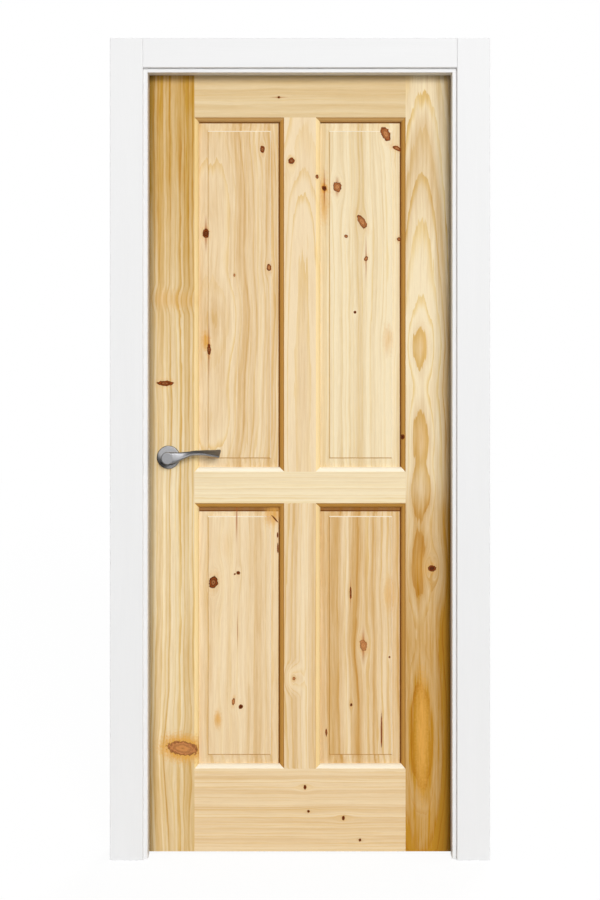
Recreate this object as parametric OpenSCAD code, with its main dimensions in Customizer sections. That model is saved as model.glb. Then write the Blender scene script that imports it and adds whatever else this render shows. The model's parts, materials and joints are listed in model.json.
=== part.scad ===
// Interior door: a four-panel knotty pine leaf in a white rebated frame with casings.
// X runs to the right seen from the push side, Y through the wall to the pull side, Z up.
// The origin is on the floor, in the middle of the opening and of the wall. Sizes in millimetres.

/* [Leaf] */
// Width of the leaf
leaf_w = 813; // [762:1:864]
// Height of the leaf
leaf_h = 2032; // [1981:1:2134]
// Thickness of the leaf
leaf_t = 35; // [35:0.5:44]
// Gap beside and above the leaf
leaf_gap = 3; // [2:0.5:4]
// Gap under the leaf
floor_gap = 5; // [3:1:12]

/* [Leaf members] */
// Face width of both stiles
stile_w = 132; // [126:1:150]
// Face height of the top rail
top_rail_h = 124; // [100:1:150]
// Face height of the lock rail
lock_rail_h = 82; // [76:1:100]
// Face height of the bottom rail
bottom_rail_h = 215; // [160:1:260]
// Height of the lower edge of the lock rail above the bottom of the leaf
lock_rail_rise = 905; // [800:1:920]
// Face width of the muntins
muntin_w = 83; // [76:1:110]
// Radius of the ovolo that runs around each panel
ovolo_r = 11.5; // [9:0.5:12]
// Depth of the quirk between the face and the ovolo
quirk_d = 1.2; // [0.6:0.1:1.6]
// Play of a scribed end over the ovolo that it covers
scribe_play = 0.1; // [0.05:0.01:0.2]

/* [Panels] */
// Width of the sloped margin around a raised field
margin_w = 23; // [16:1:36]
// Thickness of a panel at its raised field
field_t = 22; // [19:0.5:26]
// Height of the small step at the edge of a field
field_step_h = 2.6; // [1:0.1:3]
// Width of that step
field_step_w = 1.6; // [1:0.1:4]
// Play of a panel in its groove, on each face
panel_play = 0.15; // [0.1:0.05:0.25]
// Room for a panel to swell at the bottom of its groove
panel_room = 2; // [1:0.5:4]

/* [Dowels] */
// Diameter of the dowels between rails and stiles
rail_dowel_d = 12; // [10:1:14]
// Length of the dowels between rails and stiles
rail_dowel_l = 96; // [80:1:100]
// Distance of a rail's outer dowels from its edges
rail_dowel_inset = 24; // [20:1:30]
// Diameter of the dowels between muntins and rails
muntin_dowel_d = 10; // [8:1:12]
// Length of the dowels between muntins and rails
muntin_dowel_l = 60; // [50:1:64]
// Distance of a muntin's dowels from its edges
muntin_dowel_inset = 22; // [18:1:28]
// Play of a dowel in its bore
dowel_play = 0.1; // [0.05:0.01:0.2]

/* [Frame] */
// Depth of the jambs through the wall
jamb_d = 90; // [80:1:140]
// Thickness of the jambs behind the rebate
jamb_t = 27; // [26:1:40]
// How far the stop stands in from the rebate
stop_w = 18; // [14:1:20]
// Room for the seal between the stop and the leaf
seal_room = 3; // [2.5:0.1:4]
// Rounding of the front edge of the stop
stop_edge_r = 1.5; // [1:0.5:5]
// Diameter of the fixing holes in the jambs
fixing_d = 8; // [6:0.5:10]
// Heights of the fixing holes as shares of the height of the opening
fixing_shares = [0.2, 0.42, 0.6, 0.82];

/* [Casings] */
// Width of the side casings on the push side
casing_w = 85; // [70:1:100]
// Height of the head casing on the push side
head_casing_h = 76; // [66:1:100]
// Width of the casings on the pull side
pull_casing_w = 74; // [60:1:90]
// Thickness of the casings
casing_t = 10; // [10:0.5:20]
// Width of the jamb edge that the casings leave bare
reveal = 11; // [10:0.5:12]
// Rounding of the inner edge of a casing
casing_round_r = 3; // [2:0.5:8]
// Rounding of the outer edge of a casing
casing_edge_r = 1.5; // [1:0.5:4]
// Thickness of the tongues that hold the casings in the jambs
tongue_t = 4; // [3:0.5:5]
// Length of the tongues on the push side
push_tongue_l = 16; // [10:1:20]
// Length of the tongues on the pull side, short of the hinge screws
pull_tongue_l = 7; // [5:0.5:7]
// Distance of the tongue groove from the rebate
tongue_inset = 17; // [15:1:18]
// Play of the tongue in its groove
tongue_play = 0.15; // [0.1:0.05:0.3]

/* [Seals] */
// Width of the head of a seal
seal_w = 9; // [7:0.5:10]
// Thickness of the stem of a seal
seal_stem_t = 2.6; // [2:0.1:3.5]
// Length of the stem of a seal
seal_stem_l = 6; // [4:0.5:8]
// Gap between a seal and the leaf
seal_gap = 0.4; // [0.3:0.1:0.8]

/* [Hinges] */
// Height of a hinge
hinge_h = 100; // [90:1:110]
// Width of a hinge plate in the wood
hinge_plate_w = 28; // [24:1:30]
// Thickness of a hinge plate
hinge_plate_t = 2.5; // [2:0.1:3]
// Radius of the hinge knuckles
knuckle_r = 6; // [5.5:0.5:7]
// Gap between neighbouring knuckles
knuckle_gap = 0.4; // [0.3:0.1:0.6]
// Gap between the knuckles and the face of the leaf
knuckle_stand = 0.6; // [0.5:0.1:1]
// Radius of a hinge pin
pin_r = 3; // [2.5:0.1:3.5]
// Running clearance of the pin in the knuckles
pin_play = 0.06; // [0.03:0.01:0.09]
// Height of the head and of the foot of a hinge pin
pin_cap_h = 4; // [3:0.5:6]
// Distance of the upper hinge from the top of the leaf, to its middle
hinge_drop = 175; // [150:1:220]
// Distance of the lower hinge from the bottom of the leaf, to its middle
hinge_rise = 225; // [180:1:260]
// Diameter of the hinge screws
hinge_screw_d = 4.5; // [4:0.5:5]
// Length of the hinge screws
hinge_screw_l = 22; // [16:1:24]
// Heights of the hinge screws as shares of the height of a hinge
hinge_screw_z_shares = [-0.38, -0.14, 0.14, 0.38];
// Places of the hinge screws across a plate as shares of its width
hinge_screw_y_shares = [0.36, 0.7, 0.7, 0.36];

/* [Latch] */
// Distance of the spindle from the edge of the leaf
backset = 65; // [60:1:70]
// Height of the spindle above the bottom of the leaf
spindle_rise = 1025; // [1015:1:1060]
// Length of the latch case
case_l = 82; // [80:1:88]
// Thickness of the latch case
case_t = 14; // [13:0.5:16]
// Height of the latch case
case_h = 62; // [58:1:70]
// Wall of the latch case
case_wall = 1.5; // [1:0.1:2]
// Distance of the spindle from the bottom of the latch case
case_drop = 20; // [18:1:24]
// Play of the latch case in its mortise
case_play = 0.2; // [0.1:0.05:0.3]
// Width of the latch faceplate
faceplate_w = 22; // [20:1:26]
// Height of the latch faceplate
faceplate_h = 112; // [105:1:125]
// Thickness of the latch faceplate
faceplate_t = 2.5; // [2:0.1:3]
// Corner radius of the latch faceplate
faceplate_r = 5; // [2:0.5:8]
// Height of the latch bolt
bolt_h = 18; // [16:0.5:20]
// How far the latch bolt stands out of the leaf
bolt_throw = 11; // [10:0.5:11]
// Length of the bolt head inside the case
bolt_head_l = 13; // [10:1:15]
// Height of the middle of the bolt above the spindle
bolt_lift = 16; // [15.5:0.1:16.5]
// Thickness of the tail of the bolt
tail_t = 3.6; // [3:0.1:4.5]
// Thickness of the hook at the end of the tail
hook_t = 4; // [3:0.5:5]
// Gap around the bolt in the case and in the faceplate
bolt_gap = 0.35; // [0.3:0.05:0.5]
// Radius of the bolt spring
spring_r = 3.8; // [3:0.1:4.2]
// Radius of the wire of the bolt spring
spring_wire_r = 0.5; // [0.4:0.05:0.7]
// Number of turns of the bolt spring
spring_turns = 8; // [6:1:10]
// Thickness of the lug that holds the spring in the case
lug_t = 3; // [2:0.5:4]
// Distance of that lug from the spindle
lug_inset = 21; // [19:1:24]

/* [Follower] */
// Radius of the follower journals in the case walls
journal_r = 8.4; // [8:0.1:9]
// Running clearance of the journals
journal_play = 0.08; // [0.04:0.01:0.1]
// Radius of the follower body
follower_r = 10.5; // [9.5:0.1:11]
// Radius at which the nose of the follower works
nose_arm = 16.1; // [15.8:0.1:16.4]
// Radius of the nose of the follower
nose_r = 2.5; // [2.2:0.1:2.8]
// Thickness of the arm that carries the nose
arm_t = 3; // [2.5:0.1:3.5]
// Backward lean of the arm at rest, half of the lever travel
arm_lean = 20; // [18:0.5:20]
// Gap between the nose and the hook of the bolt
nose_gap = 0.6; // [0.5:0.05:0.8]

/* [Strike] */
// Width of the strike plate
strike_w = 30; // [28:1:32]
// Height of the strike plate
strike_h = 76; // [70:1:90]
// Thickness of the strike plate
strike_t = 2; // [1.5:0.1:2.5]
// Length of the lip bent around the edge of the jamb
lip_l = 8; // [6:0.5:9]
// Rounding of the bend of the lip
lip_r = 1.8; // [1:0.1:1.9]
// Room around the bolt in the strike plate
strike_room = 1.2; // [0.8:0.1:2]
// Depth of the pocket behind the strike plate
pocket_d = 16; // [13:1:20]

/* [Screws] */
// Diameter of the screws of the faceplate, strike plate and roses
small_screw_d = 4; // [3:0.5:4.5]
// Length of the screws of the faceplate and of the strike plate
plate_screw_l = 20; // [14:1:22]
// Length of the rose screws
rose_screw_l = 13; // [11:0.5:14]
// Head diameter of a countersunk screw as a share of its own diameter
screw_head_share = 1.9;
// Height of a countersunk head as a share of the screw's diameter
screw_head_h_share = 0.5;
// Length of the point as a share of the screw's diameter
screw_point_share = 1;
// Distance of the screws from the ends of the faceplate and the strike plate
plate_screw_inset = 9; // [8:0.5:10]
// Play of a screw in its hole
screw_play = 0.1; // [0.05:0.01:0.15]

/* [Handles] */
// Diameter of the roses
rose_d = 60; // [56:1:64]
// Height of the roses
rose_h = 9; // [8:0.5:11]
// Rounding of the edge of the roses
rose_edge_r = 2.5; // [1:0.5:4]
// Wall of the rose covers
rose_wall = 1.6; // [1.2:0.1:2]
// Diameter of the base plates under the roses
base_d = 54; // [50:1:55]
// Height of the base plates
base_h = 5; // [4:0.5:6]
// Distance of the rose screws from the spindle
rose_screw_inset = 19; // [18:0.5:20]
// Diameter of the neck of a lever
neck_d = 20; // [18:0.5:22]
// Gap around the neck
neck_gap = 0.35; // [0.3:0.05:0.6]
// Gap between the end of the neck and the leaf
neck_stand = 1; // [0.5:0.1:2]
// Diameter of the round hub at the outer end of the neck
hub_d = 32; // [28:0.5:34]
// Thickness of the hub
hub_t = 12; // [10:0.5:14]
// Rounding of the front edge of the hub
hub_edge_r = 1.5; // [0.5:0.1:3]
// Height of the flare between the neck and the hub
flare_h = 8; // [5:0.5:12]
// Distance of the middle of the lever from the face of the leaf
lever_stand = 47; // [44:0.5:52]
// Length of a lever from the spindle to its tip
lever_l = 136; // [115:1:145]
// Rise of the grip above the spindle
lever_rise = 12; // [6:0.5:14]
// Turn of the blade between the hub and the tip, in degrees
lever_twist = 51; // [30:1:60]
// Width of the lever at the hub
lever_w = 31; // [26:0.5:31]
// Thickness of the lever at the hub
lever_t = 11; // [9:0.5:11.5]
// Slant of the end of the blade
tip_slant = 1.6; // [0:0.1:3]
// Length of the softened end of the blade
tip_l = 1; // [0.5:0.1:2]
// Stations of a lever as shares of its length, rise, width, thickness and turn
lever_shares = [
    [0, 0, 1, 1, 0],
    [0.12, 0.1, 0.92, 0.99, 0.04],
    [0.257, 0.4, 0.68, 0.95, 0.16],
    [0.424, 0.9, 0.42, 0.83, 0.5],
    [0.52, 1.1, 0.4, 0.77, 0.66],
    [0.69, 1.16, 0.47, 0.66, 0.83],
    [0.85, 1.08, 0.67, 0.55, 0.93],
    [1, 0.98, 0.94, 0.45, 1]
];
// Size of the softened end of the blade as a share of its last station
tip_share = 0.82;
// Squareness of the lever section, one for an oval and near zero for a box
section_share = 0.45;
// Width of the square spindle
spindle_w = 8; // [7:0.5:8.5]
// Play of the spindle in its square holes
spindle_play = 0.1; // [0.05:0.01:0.15]
// Reach of the spindle into each lever
spindle_reach = 32; // [26:1:36]
// Diameter of the grub screws
grub_d = 5; // [4:0.5:6]
// Distance of the grub screws from the face of the leaf
grub_stand = 20; // [16:0.5:24]

/* [Hidden] */
$fn = 64;
// Overrun of cuts past the faces they break
over = 1;
// Rings between two lever stations
lever_steps = 4;
// Points around the lever section
lever_points = 20;
// Steps around one turn of the spring
spring_steps = 14;
// Points around the spring wire
wire_points = 6;
// Number of knuckles of a hinge
knuckle_count = 5;
pine = [0.87, 0.75, 0.54];
white = [0.93, 0.93, 0.92];
nickel = [0.7, 0.69, 0.66];
steel = [0.62, 0.62, 0.62];
black = [0.12, 0.12, 0.12];
beech = [0.78, 0.64, 0.46];

// Places across the opening
leaf_x = leaf_w / 2;
rebate_x = leaf_x + leaf_gap;
stop_x = rebate_x - stop_w;
jamb_x = rebate_x + jamb_t;
casing_x = stop_x + reveal;
pull_casing_x = rebate_x + reveal;
// Places up the wall
leaf_top = floor_gap + leaf_h;
rebate_z = leaf_top + leaf_gap;
stop_z = rebate_z - stop_w;
jamb_z = rebate_z + jamb_t;
casing_top = stop_z + reveal + head_casing_h;
pull_casing_top = rebate_z + reveal + pull_casing_w;
// Places through the wall
push_y = -jamb_d / 2;
pull_y = jamb_d / 2;
leaf_push_y = pull_y - leaf_t;
leaf_mid_y = pull_y - leaf_t / 2;
stop_back_y = leaf_push_y - seal_room;
// Jamb section
jamb_w = stop_w + jamb_t;
rebate_d = leaf_t + seal_room;
shoulder_d = jamb_d - rebate_d;
groove_u = stop_w + tongue_inset;
// Leaf members
groove_w = leaf_t - 2 * (quirk_d + ovolo_r);
rail_l = leaf_w - 2 * stile_w;
rail_x = rail_l / 2;
lock_rail_z = floor_gap + lock_rail_rise;
lock_rail_top = lock_rail_z + lock_rail_h;
bottom_rail_top = floor_gap + bottom_rail_h;
top_rail_z = leaf_top - top_rail_h;
panel_w = rail_x - muntin_w / 2 - 2 * panel_room;
panel_x = (rail_x + muntin_w / 2) / 2;
upper_panel_h = top_rail_z - lock_rail_top - 2 * panel_room;
lower_panel_h = lock_rail_z - bottom_rail_top - 2 * panel_room;
// Seal section, a circle segment on a stem
seal_h = seal_room - seal_gap;
seal_head_r = (seal_w * seal_w / 4 + seal_h * seal_h) / (2 * seal_h);
// Hinges
pin_x = leaf_x + leaf_gap / 2;
pin_y = pull_y + knuckle_r + knuckle_stand;
upper_hinge_z = leaf_top - hinge_drop;
lower_hinge_z = floor_gap + hinge_rise;
middle_hinge_z = (upper_hinge_z + lower_hinge_z) / 2;
hinge_zs = [lower_hinge_z, middle_hinge_z, upper_hinge_z];
knuckle_h = hinge_h / knuckle_count;
// Latch
spindle_x = backset - leaf_x;
spindle_z = floor_gap + spindle_rise;
case_x = faceplate_t - leaf_x;
case_z = spindle_z - case_drop;
case_inner_t = case_t - 2 * case_wall;
bolt_w = case_inner_t - 2 * bolt_gap;
bolt_z = spindle_z + bolt_lift;
bolt_back_x = case_x + bolt_head_l;
tail_z = spindle_z + nose_arm + nose_r + nose_gap;
nose_x = spindle_x - nose_arm * sin(arm_lean);
hook_x = nose_x + nose_r + nose_gap;
hook_z = spindle_z + nose_arm * cos(arm_lean) - nose_r / 2;
faceplate_z = case_z + case_h / 2;
lug_x = spindle_x - lug_inset;
spring_z = spindle_z + (follower_r + nose_arm) / 2;
spring_x = bolt_back_x + spring_wire_r;
spring_l = lug_x - spring_x - spring_wire_r;
plate_screw_z = faceplate_h / 2 - plate_screw_inset;
strike_screw_z = strike_h / 2 - plate_screw_inset;
// Handles
hub_back = lever_stand - hub_t / 2;
hub_front = lever_stand + hub_t / 2;
spindle_l = leaf_t + 2 * (neck_stand + spindle_reach);
last_station = len(lever_shares) - 1;
ring_count = last_station * lever_steps + 1;

// Shared shapes

// Square corner less its rounding, to cut from an outer corner at the origin
module corner_cut(r) {
    difference() {
        translate([-over, -over]) square(r + over);
        translate([r, r]) circle(r);
    }
}

// Rectangle with round corners about the origin
module round_rect(w, h, r) {
    square([w - 2 * r, h], center = true);
    square([w, h - 2 * r], center = true);
    for (sx = [-1, 1]) {
        for (sy = [-1, 1]) {
            translate([sx * (w / 2 - r), sy * (h / 2 - r)]) circle(r);
        }
    }
}

// A section with X across the opening and Y through the wall, run upright
module upright(h) {
    linear_extrude(height = h) children();
}

// The same kind of section laid over the opening, with its X up, run along X about the middle
module across(l) {
    translate([-l / 2, 0, 0]) rotate([90, 0, 90]) linear_extrude(height = l) mirror([1, -1, 0]) children();
}

// Both hands of a piece
module both_sides() {
    children();
    mirror([1, 0, 0]) children();
}

// A countersunk wood screw with its head at the origin, pointing down
module screw(d, l, play) {
    head_r = d * screw_head_share / 2;
    head_h = d * screw_head_h_share;
    point_l = d * screw_point_share;
    translate([0, 0, -head_h]) cylinder(h = head_h, r1 = d / 2 + play, r2 = head_r + play);
    translate([0, 0, point_l - l]) cylinder(h = l - head_h - point_l, r = d / 2 + play);
    translate([0, 0, -l]) cylinder(h = point_l, r1 = 0, r2 = d / 2 + play);
}

// Frame

module jamb_section() {
    difference() {
        square([jamb_w, jamb_d]);
        translate([-over, shoulder_d]) square([stop_w + over, rebate_d + over]);
        corner_cut(stop_edge_r);
        tongue_groove(push_tongue_l);
        translate([0, jamb_d]) mirror([0, 1]) tongue_groove(pull_tongue_l);
        translate([(stop_w - seal_stem_t) / 2, shoulder_d - seal_stem_l])
            square([seal_stem_t, seal_stem_l + over]);
    }
}

// Groove for a tongue in the edge of a jamb at Y = 0
module tongue_groove(l) {
    translate([groove_u - tongue_play, -over]) square([tongue_t + 2 * tongue_play, l + tongue_play + over]);
}

module seal_section() {
    intersection() {
        translate([stop_w / 2, shoulder_d + seal_h - seal_head_r]) circle(seal_head_r);
        translate([0, shoulder_d]) square([stop_w, seal_room]);
    }
    translate([(stop_w - seal_stem_t) / 2, shoulder_d - seal_stem_l]) square([seal_stem_t, seal_stem_l]);
}

// Space on the outer side of the right mitre, below it
module below_mitre() {
    run = jamb_w + over;
    translate([stop_x, jamb_d, 0]) rotate([90, 0, 0]) linear_extrude(height = 2 * jamb_d)
        polygon([[-over, -over], [run, -over], [run, stop_z + run], [-over, stop_z - over]]);
}

// Space between both mitres
module above_mitres() {
    run = jamb_w + over;
    translate([0, jamb_d, stop_z]) rotate([90, 0, 0]) linear_extrude(height = 2 * jamb_d)
        polygon([[over - stop_x, -over], [stop_x - over, -over], [stop_x + run, run], [-stop_x - run, run]]);
}

module side_run() {
    intersection() {
        translate([stop_x, push_y, 0]) upright(jamb_z + over) children();
        below_mitre();
    }
}

module head_run() {
    intersection() {
        translate([0, push_y, stop_z]) across(2 * jamb_x + over) children();
        above_mitres();
    }
}

module fixing_holes() {
    for (s = fixing_shares) {
        translate([rebate_x - over, leaf_mid_y, s * stop_z])
            rotate([0, 90, 0]) cylinder(h = jamb_t + 2 * over, d = fixing_d);
    }
}

module side_jamb() {
    difference() {
        side_run() jamb_section();
        fixing_holes();
    }
}

module strike_jamb() {
    color(white) difference() {
        mirror([1, 0, 0]) side_jamb();
        strike_body();
        strike_pocket();
        strike_screw_set(screw_play);
    }
}

module hinge_jamb() {
    color(white) difference() {
        side_jamb();
        for (z = hinge_zs) {
            translate([rebate_x - over, pull_y - hinge_plate_w, z - hinge_h / 2])
                cube([hinge_plate_t + over, hinge_plate_w + over, hinge_h]);
        }
        frame_screw_set(screw_play);
    }
}

module head_jamb() {
    color(white) head_run() jamb_section();
}

module strike_seal() {
    color(black) mirror([1, 0, 0]) side_run() seal_section();
}

module hinge_seal() {
    color(black) side_run() seal_section();
}

module head_seal() {
    color(black) head_run() seal_section();
}

// Casings

// Section with its inner edge and the jamb's edge at the origin and its face along Y
module casing_section(w) {
    difference() {
        square([w, casing_t]);
        translate([0, casing_t]) mirror([0, 1]) corner_cut(casing_round_r);
        translate([w, casing_t]) mirror([1, 0]) mirror([0, 1]) corner_cut(casing_edge_r);
    }
}

module tongue_section(u, l) {
    translate([u, -l]) square([tongue_t, l + over]);
}

module side_casing(w, h, tongue_u, tongue_l) {
    upright(h) casing_section(w);
    upright(stop_z) tongue_section(tongue_u, tongue_l);
}

module head_casing(w, l, tongue_u, tongue_l) {
    across(l) casing_section(w);
    across(l) tongue_section(tongue_u, tongue_l);
}

module push_side_casing() {
    translate([casing_x, push_y, 0]) mirror([0, 1, 0])
        side_casing(casing_w, casing_top, groove_u - reveal, push_tongue_l);
}

module pull_side_casing() {
    translate([pull_casing_x, pull_y, 0])
        side_casing(pull_casing_w, pull_casing_top, tongue_inset - reveal, pull_tongue_l);
}

module push_left_casing() {
    color(white) mirror([1, 0, 0]) push_side_casing();
}

module push_right_casing() {
    color(white) push_side_casing();
}

module push_head_casing() {
    color(white) translate([0, push_y, stop_z + reveal]) mirror([0, 1, 0])
        head_casing(head_casing_h, 2 * casing_x, groove_u - reveal, push_tongue_l);
}

module pull_left_casing() {
    color(white) mirror([1, 0, 0]) pull_side_casing();
}

module pull_right_casing() {
    color(white) pull_side_casing();
}

module pull_head_casing() {
    color(white) translate([0, pull_y, rebate_z + reveal])
        head_casing(pull_casing_w, 2 * pull_casing_x, tongue_inset - reveal, pull_tongue_l);
}

// Leaf members

// The two ovolos of an edge at X = 0, standing out along X, grown by a play for scribing
module ovolos(play) {
    for (s = [0, 1]) {
        mirror([0, s]) intersection() {
            translate([0, groove_w / 2]) circle(ovolo_r + play);
            translate([0, groove_w / 2 - play]) square(ovolo_r + 2 * play);
        }
    }
}

// A member from X = 0 to its width, with ovolos on the edges asked for
module member_section(w, low, high) {
    translate([0, -leaf_t / 2]) square([w, leaf_t]);
    if (low) {
        mirror([1, 0]) ovolos(0);
    }
    if (high) {
        translate([w, 0]) ovolos(0);
    }
}

module stile() {
    translate([-leaf_x, leaf_mid_y, floor_gap]) upright(leaf_h) member_section(stile_w, false, true);
}

// The ovolos of both stiles, to scribe the rails
module stile_ovolos() {
    both_sides() translate([-rail_x, leaf_mid_y, floor_gap - over]) upright(leaf_h + 2 * over)
        ovolos(scribe_play);
}

module rail(z, h, low, high) {
    difference() {
        translate([0, leaf_mid_y, z]) across(rail_l) member_section(h, low, high);
        stile_ovolos();
        rail_dowel_set(dowel_play);
        muntin_dowel_set(dowel_play);
    }
}

module muntin(z0, z1) {
    difference() {
        translate([-muntin_w / 2, leaf_mid_y, z0]) upright(z1 - z0) member_section(muntin_w, true, true);
        translate([0, leaf_mid_y, z0]) across(muntin_w + 4 * ovolo_r) ovolos(scribe_play);
        translate([0, leaf_mid_y, z1]) mirror([0, 0, 1]) across(muntin_w + 4 * ovolo_r) ovolos(scribe_play);
        muntin_dowel_set(dowel_play);
    }
}

module lock_stile() {
    color(pine) difference() {
        stile();
        rail_dowel_set(dowel_play);
        faceplate_body();
        latch_mortise();
        plate_screw_set(screw_play);
        rose_screw_set(screw_play);
    }
}

module hinge_stile() {
    color(pine) difference() {
        mirror([1, 0, 0]) stile();
        rail_dowel_set(dowel_play);
        for (z = hinge_zs) {
            translate([leaf_x - hinge_plate_t, pull_y - hinge_plate_w, z - hinge_h / 2])
                cube([hinge_plate_t + over, hinge_plate_w + over, hinge_h]);
        }
        leaf_screw_set(screw_play);
    }
}

module top_rail() {
    color(pine) rail(top_rail_z, top_rail_h, true, false);
}

module lock_rail() {
    color(pine) rail(lock_rail_z, lock_rail_h, true, true);
}

module bottom_rail() {
    color(pine) rail(floor_gap, bottom_rail_h, false, true);
}

module upper_muntin() {
    color(pine) muntin(lock_rail_top, top_rail_z);
}

module lower_muntin() {
    color(pine) muntin(bottom_rail_top, lock_rail_z);
}

// Panels

// Half of a panel section from its edge to its middle line, with the tongue at the origin
function panel_edge(w) = [
    [0, groove_w / 2 - panel_play],
    [ovolo_r - panel_room, groove_w / 2 - panel_play],
    [ovolo_r - panel_room + margin_w, field_t / 2 - field_step_h],
    [ovolo_r - panel_room + margin_w + field_step_w, field_t / 2]
];

function reversed(list) = [for (i = [len(list) - 1:-1:0]) list[i]];

// Full panel section about the middle of its width
function panel_points(w) =
    let (half = [for (p = panel_edge(w)) [p[0] - w / 2, p[1]]])
    let (top = concat(half, [for (p = reversed(half)) [-p[0], p[1]]]))
    concat(top, [for (p = reversed(top)) [p[0], -p[1]]]);

module panel(x, z, h) {
    color(pine) translate([x, leaf_mid_y, z + panel_room]) intersection() {
        upright(h) polygon(panel_points(panel_w));
        translate([0, 0, h / 2]) across(panel_w) polygon(panel_points(h));
    }
}

module upper_left_panel() {
    panel(-panel_x, lock_rail_top, upper_panel_h);
}

module upper_right_panel() {
    panel(panel_x, lock_rail_top, upper_panel_h);
}

module lower_left_panel() {
    panel(-panel_x, bottom_rail_top, lower_panel_h);
}

module lower_right_panel() {
    panel(panel_x, bottom_rail_top, lower_panel_h);
}

// Dowels

module rail_dowel_set(play) {
    both_sides() for (z = [
        floor_gap + rail_dowel_inset,
        floor_gap + bottom_rail_h / 2,
        bottom_rail_top - rail_dowel_inset,
        lock_rail_z + rail_dowel_inset,
        lock_rail_top - rail_dowel_inset,
        top_rail_z + rail_dowel_inset,
        leaf_top - rail_dowel_inset
    ]) {
        translate([rail_x - rail_dowel_l / 2 - play, leaf_mid_y, z])
            rotate([0, 90, 0]) cylinder(h = rail_dowel_l + 2 * play, r = rail_dowel_d / 2 + play);
    }
}

module muntin_dowel_set(play) {
    both_sides() for (z = [bottom_rail_top, lock_rail_z, lock_rail_top, top_rail_z]) {
        translate([muntin_w / 2 - muntin_dowel_inset, leaf_mid_y, z - muntin_dowel_l / 2 - play])
            cylinder(h = muntin_dowel_l + 2 * play, r = muntin_dowel_d / 2 + play);
    }
}

module rail_dowels() {
    color(beech) rail_dowel_set(0);
}

module muntin_dowels() {
    color(beech) muntin_dowel_set(0);
}

// Hinges

// Knuckles of one plate from the first asked for, taking every other one
module knuckles(first, r, gap) {
    for (i = [first:2:knuckle_count - 1]) {
        translate([pin_x, pin_y, i * knuckle_h - hinge_h / 2 + gap / 2])
            cylinder(h = knuckle_h - gap, r = r);
    }
}

module pin_bore(play) {
    translate([pin_x, pin_y, -hinge_h]) cylinder(h = 2 * hinge_h, r = pin_r + play);
}

// A plate with its knuckles about the middle of its height, with its face at x
module hinge_plate(x, first) {
    difference() {
        union() {
            translate([x, pull_y - hinge_plate_w, -hinge_h / 2])
                cube([hinge_plate_t, hinge_plate_w + pin_y - pull_y, hinge_h]);
            knuckles(first, knuckle_r, knuckle_gap);
        }
        knuckles(1 - first, knuckle_r + knuckle_gap, -knuckle_gap);
        pin_bore(pin_play);
    }
}

module frame_plate(z) {
    color(steel) difference() {
        translate([0, 0, z]) hinge_plate(rebate_x, 0);
        frame_screw_set(screw_play);
    }
}

module leaf_plate(z) {
    color(steel) difference() {
        translate([0, 0, z]) hinge_plate(leaf_x - hinge_plate_t, 1);
        leaf_screw_set(screw_play);
    }
}

module pin(z) {
    color(steel) translate([pin_x, pin_y, z]) {
        translate([0, 0, -hinge_h / 2]) cylinder(h = hinge_h, r = pin_r);
        for (s = [0, 1]) {
            mirror([0, 0, s]) translate([0, 0, (hinge_h - knuckle_gap) / 2])
                cylinder(h = pin_cap_h, r1 = knuckle_r, r2 = pin_r);
        }
    }
}

// Screws of all hinge plates with their heads at x, pointing along X or against it
module hinge_screw_set(x, turn, play) {
    for (z = hinge_zs) {
        for (i = [0:len(hinge_screw_z_shares) - 1]) {
            translate([
                x,
                pull_y - hinge_screw_y_shares[i] * hinge_plate_w,
                z + hinge_screw_z_shares[i] * hinge_h
            ])
                rotate([0, turn, 0]) screw(hinge_screw_d, hinge_screw_l, play);
        }
    }
}

module frame_screw_set(play) {
    hinge_screw_set(rebate_x, -90, play);
}

module leaf_screw_set(play) {
    hinge_screw_set(leaf_x, 90, play);
}

module upper_hinge_frame_plate() {
    frame_plate(upper_hinge_z);
}

module middle_hinge_frame_plate() {
    frame_plate(middle_hinge_z);
}

module lower_hinge_frame_plate() {
    frame_plate(lower_hinge_z);
}

module upper_hinge_leaf_plate() {
    leaf_plate(upper_hinge_z);
}

module middle_hinge_leaf_plate() {
    leaf_plate(middle_hinge_z);
}

module lower_hinge_leaf_plate() {
    leaf_plate(lower_hinge_z);
}

module upper_hinge_pin() {
    pin(upper_hinge_z);
}

module middle_hinge_pin() {
    pin(middle_hinge_z);
}

module lower_hinge_pin() {
    pin(lower_hinge_z);
}

module hinge_frame_screws() {
    color(steel) frame_screw_set(0);
}

module hinge_leaf_screws() {
    color(steel) leaf_screw_set(0);
}

// Latch

module latch_case() {
    color(steel) {
        difference() {
            translate([case_x, leaf_mid_y - case_t / 2, case_z]) cube([case_l, case_t, case_h]);
            translate([case_x - over, leaf_mid_y - case_inner_t / 2, case_z + case_wall])
                cube([case_l - case_wall + over, case_inner_t, case_h - 2 * case_wall]);
            translate([spindle_x, leaf_mid_y - case_t, spindle_z])
                rotate([-90, 0, 0]) cylinder(h = 2 * case_t, r = journal_r + journal_play);
        }
        translate([lug_x, leaf_mid_y - case_t / 2 + case_wall / 2, spring_z - spring_r])
            cube([lug_t, case_t - case_wall, 2 * spring_r]);
    }
}

module faceplate_body() {
    translate([-leaf_x, leaf_mid_y, faceplate_z]) rotate([90, 0, 90])
        linear_extrude(height = faceplate_t) round_rect(faceplate_w, faceplate_h, faceplate_r);
}

module latch_faceplate() {
    color(nickel) difference() {
        faceplate_body();
        translate([-leaf_x - over, leaf_mid_y - bolt_w / 2 - bolt_gap, bolt_z - bolt_h / 2 - bolt_gap])
            cube([faceplate_t + 2 * over, bolt_w + 2 * bolt_gap, bolt_h + 2 * bolt_gap]);
        plate_screw_set(screw_play);
    }
}

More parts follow.
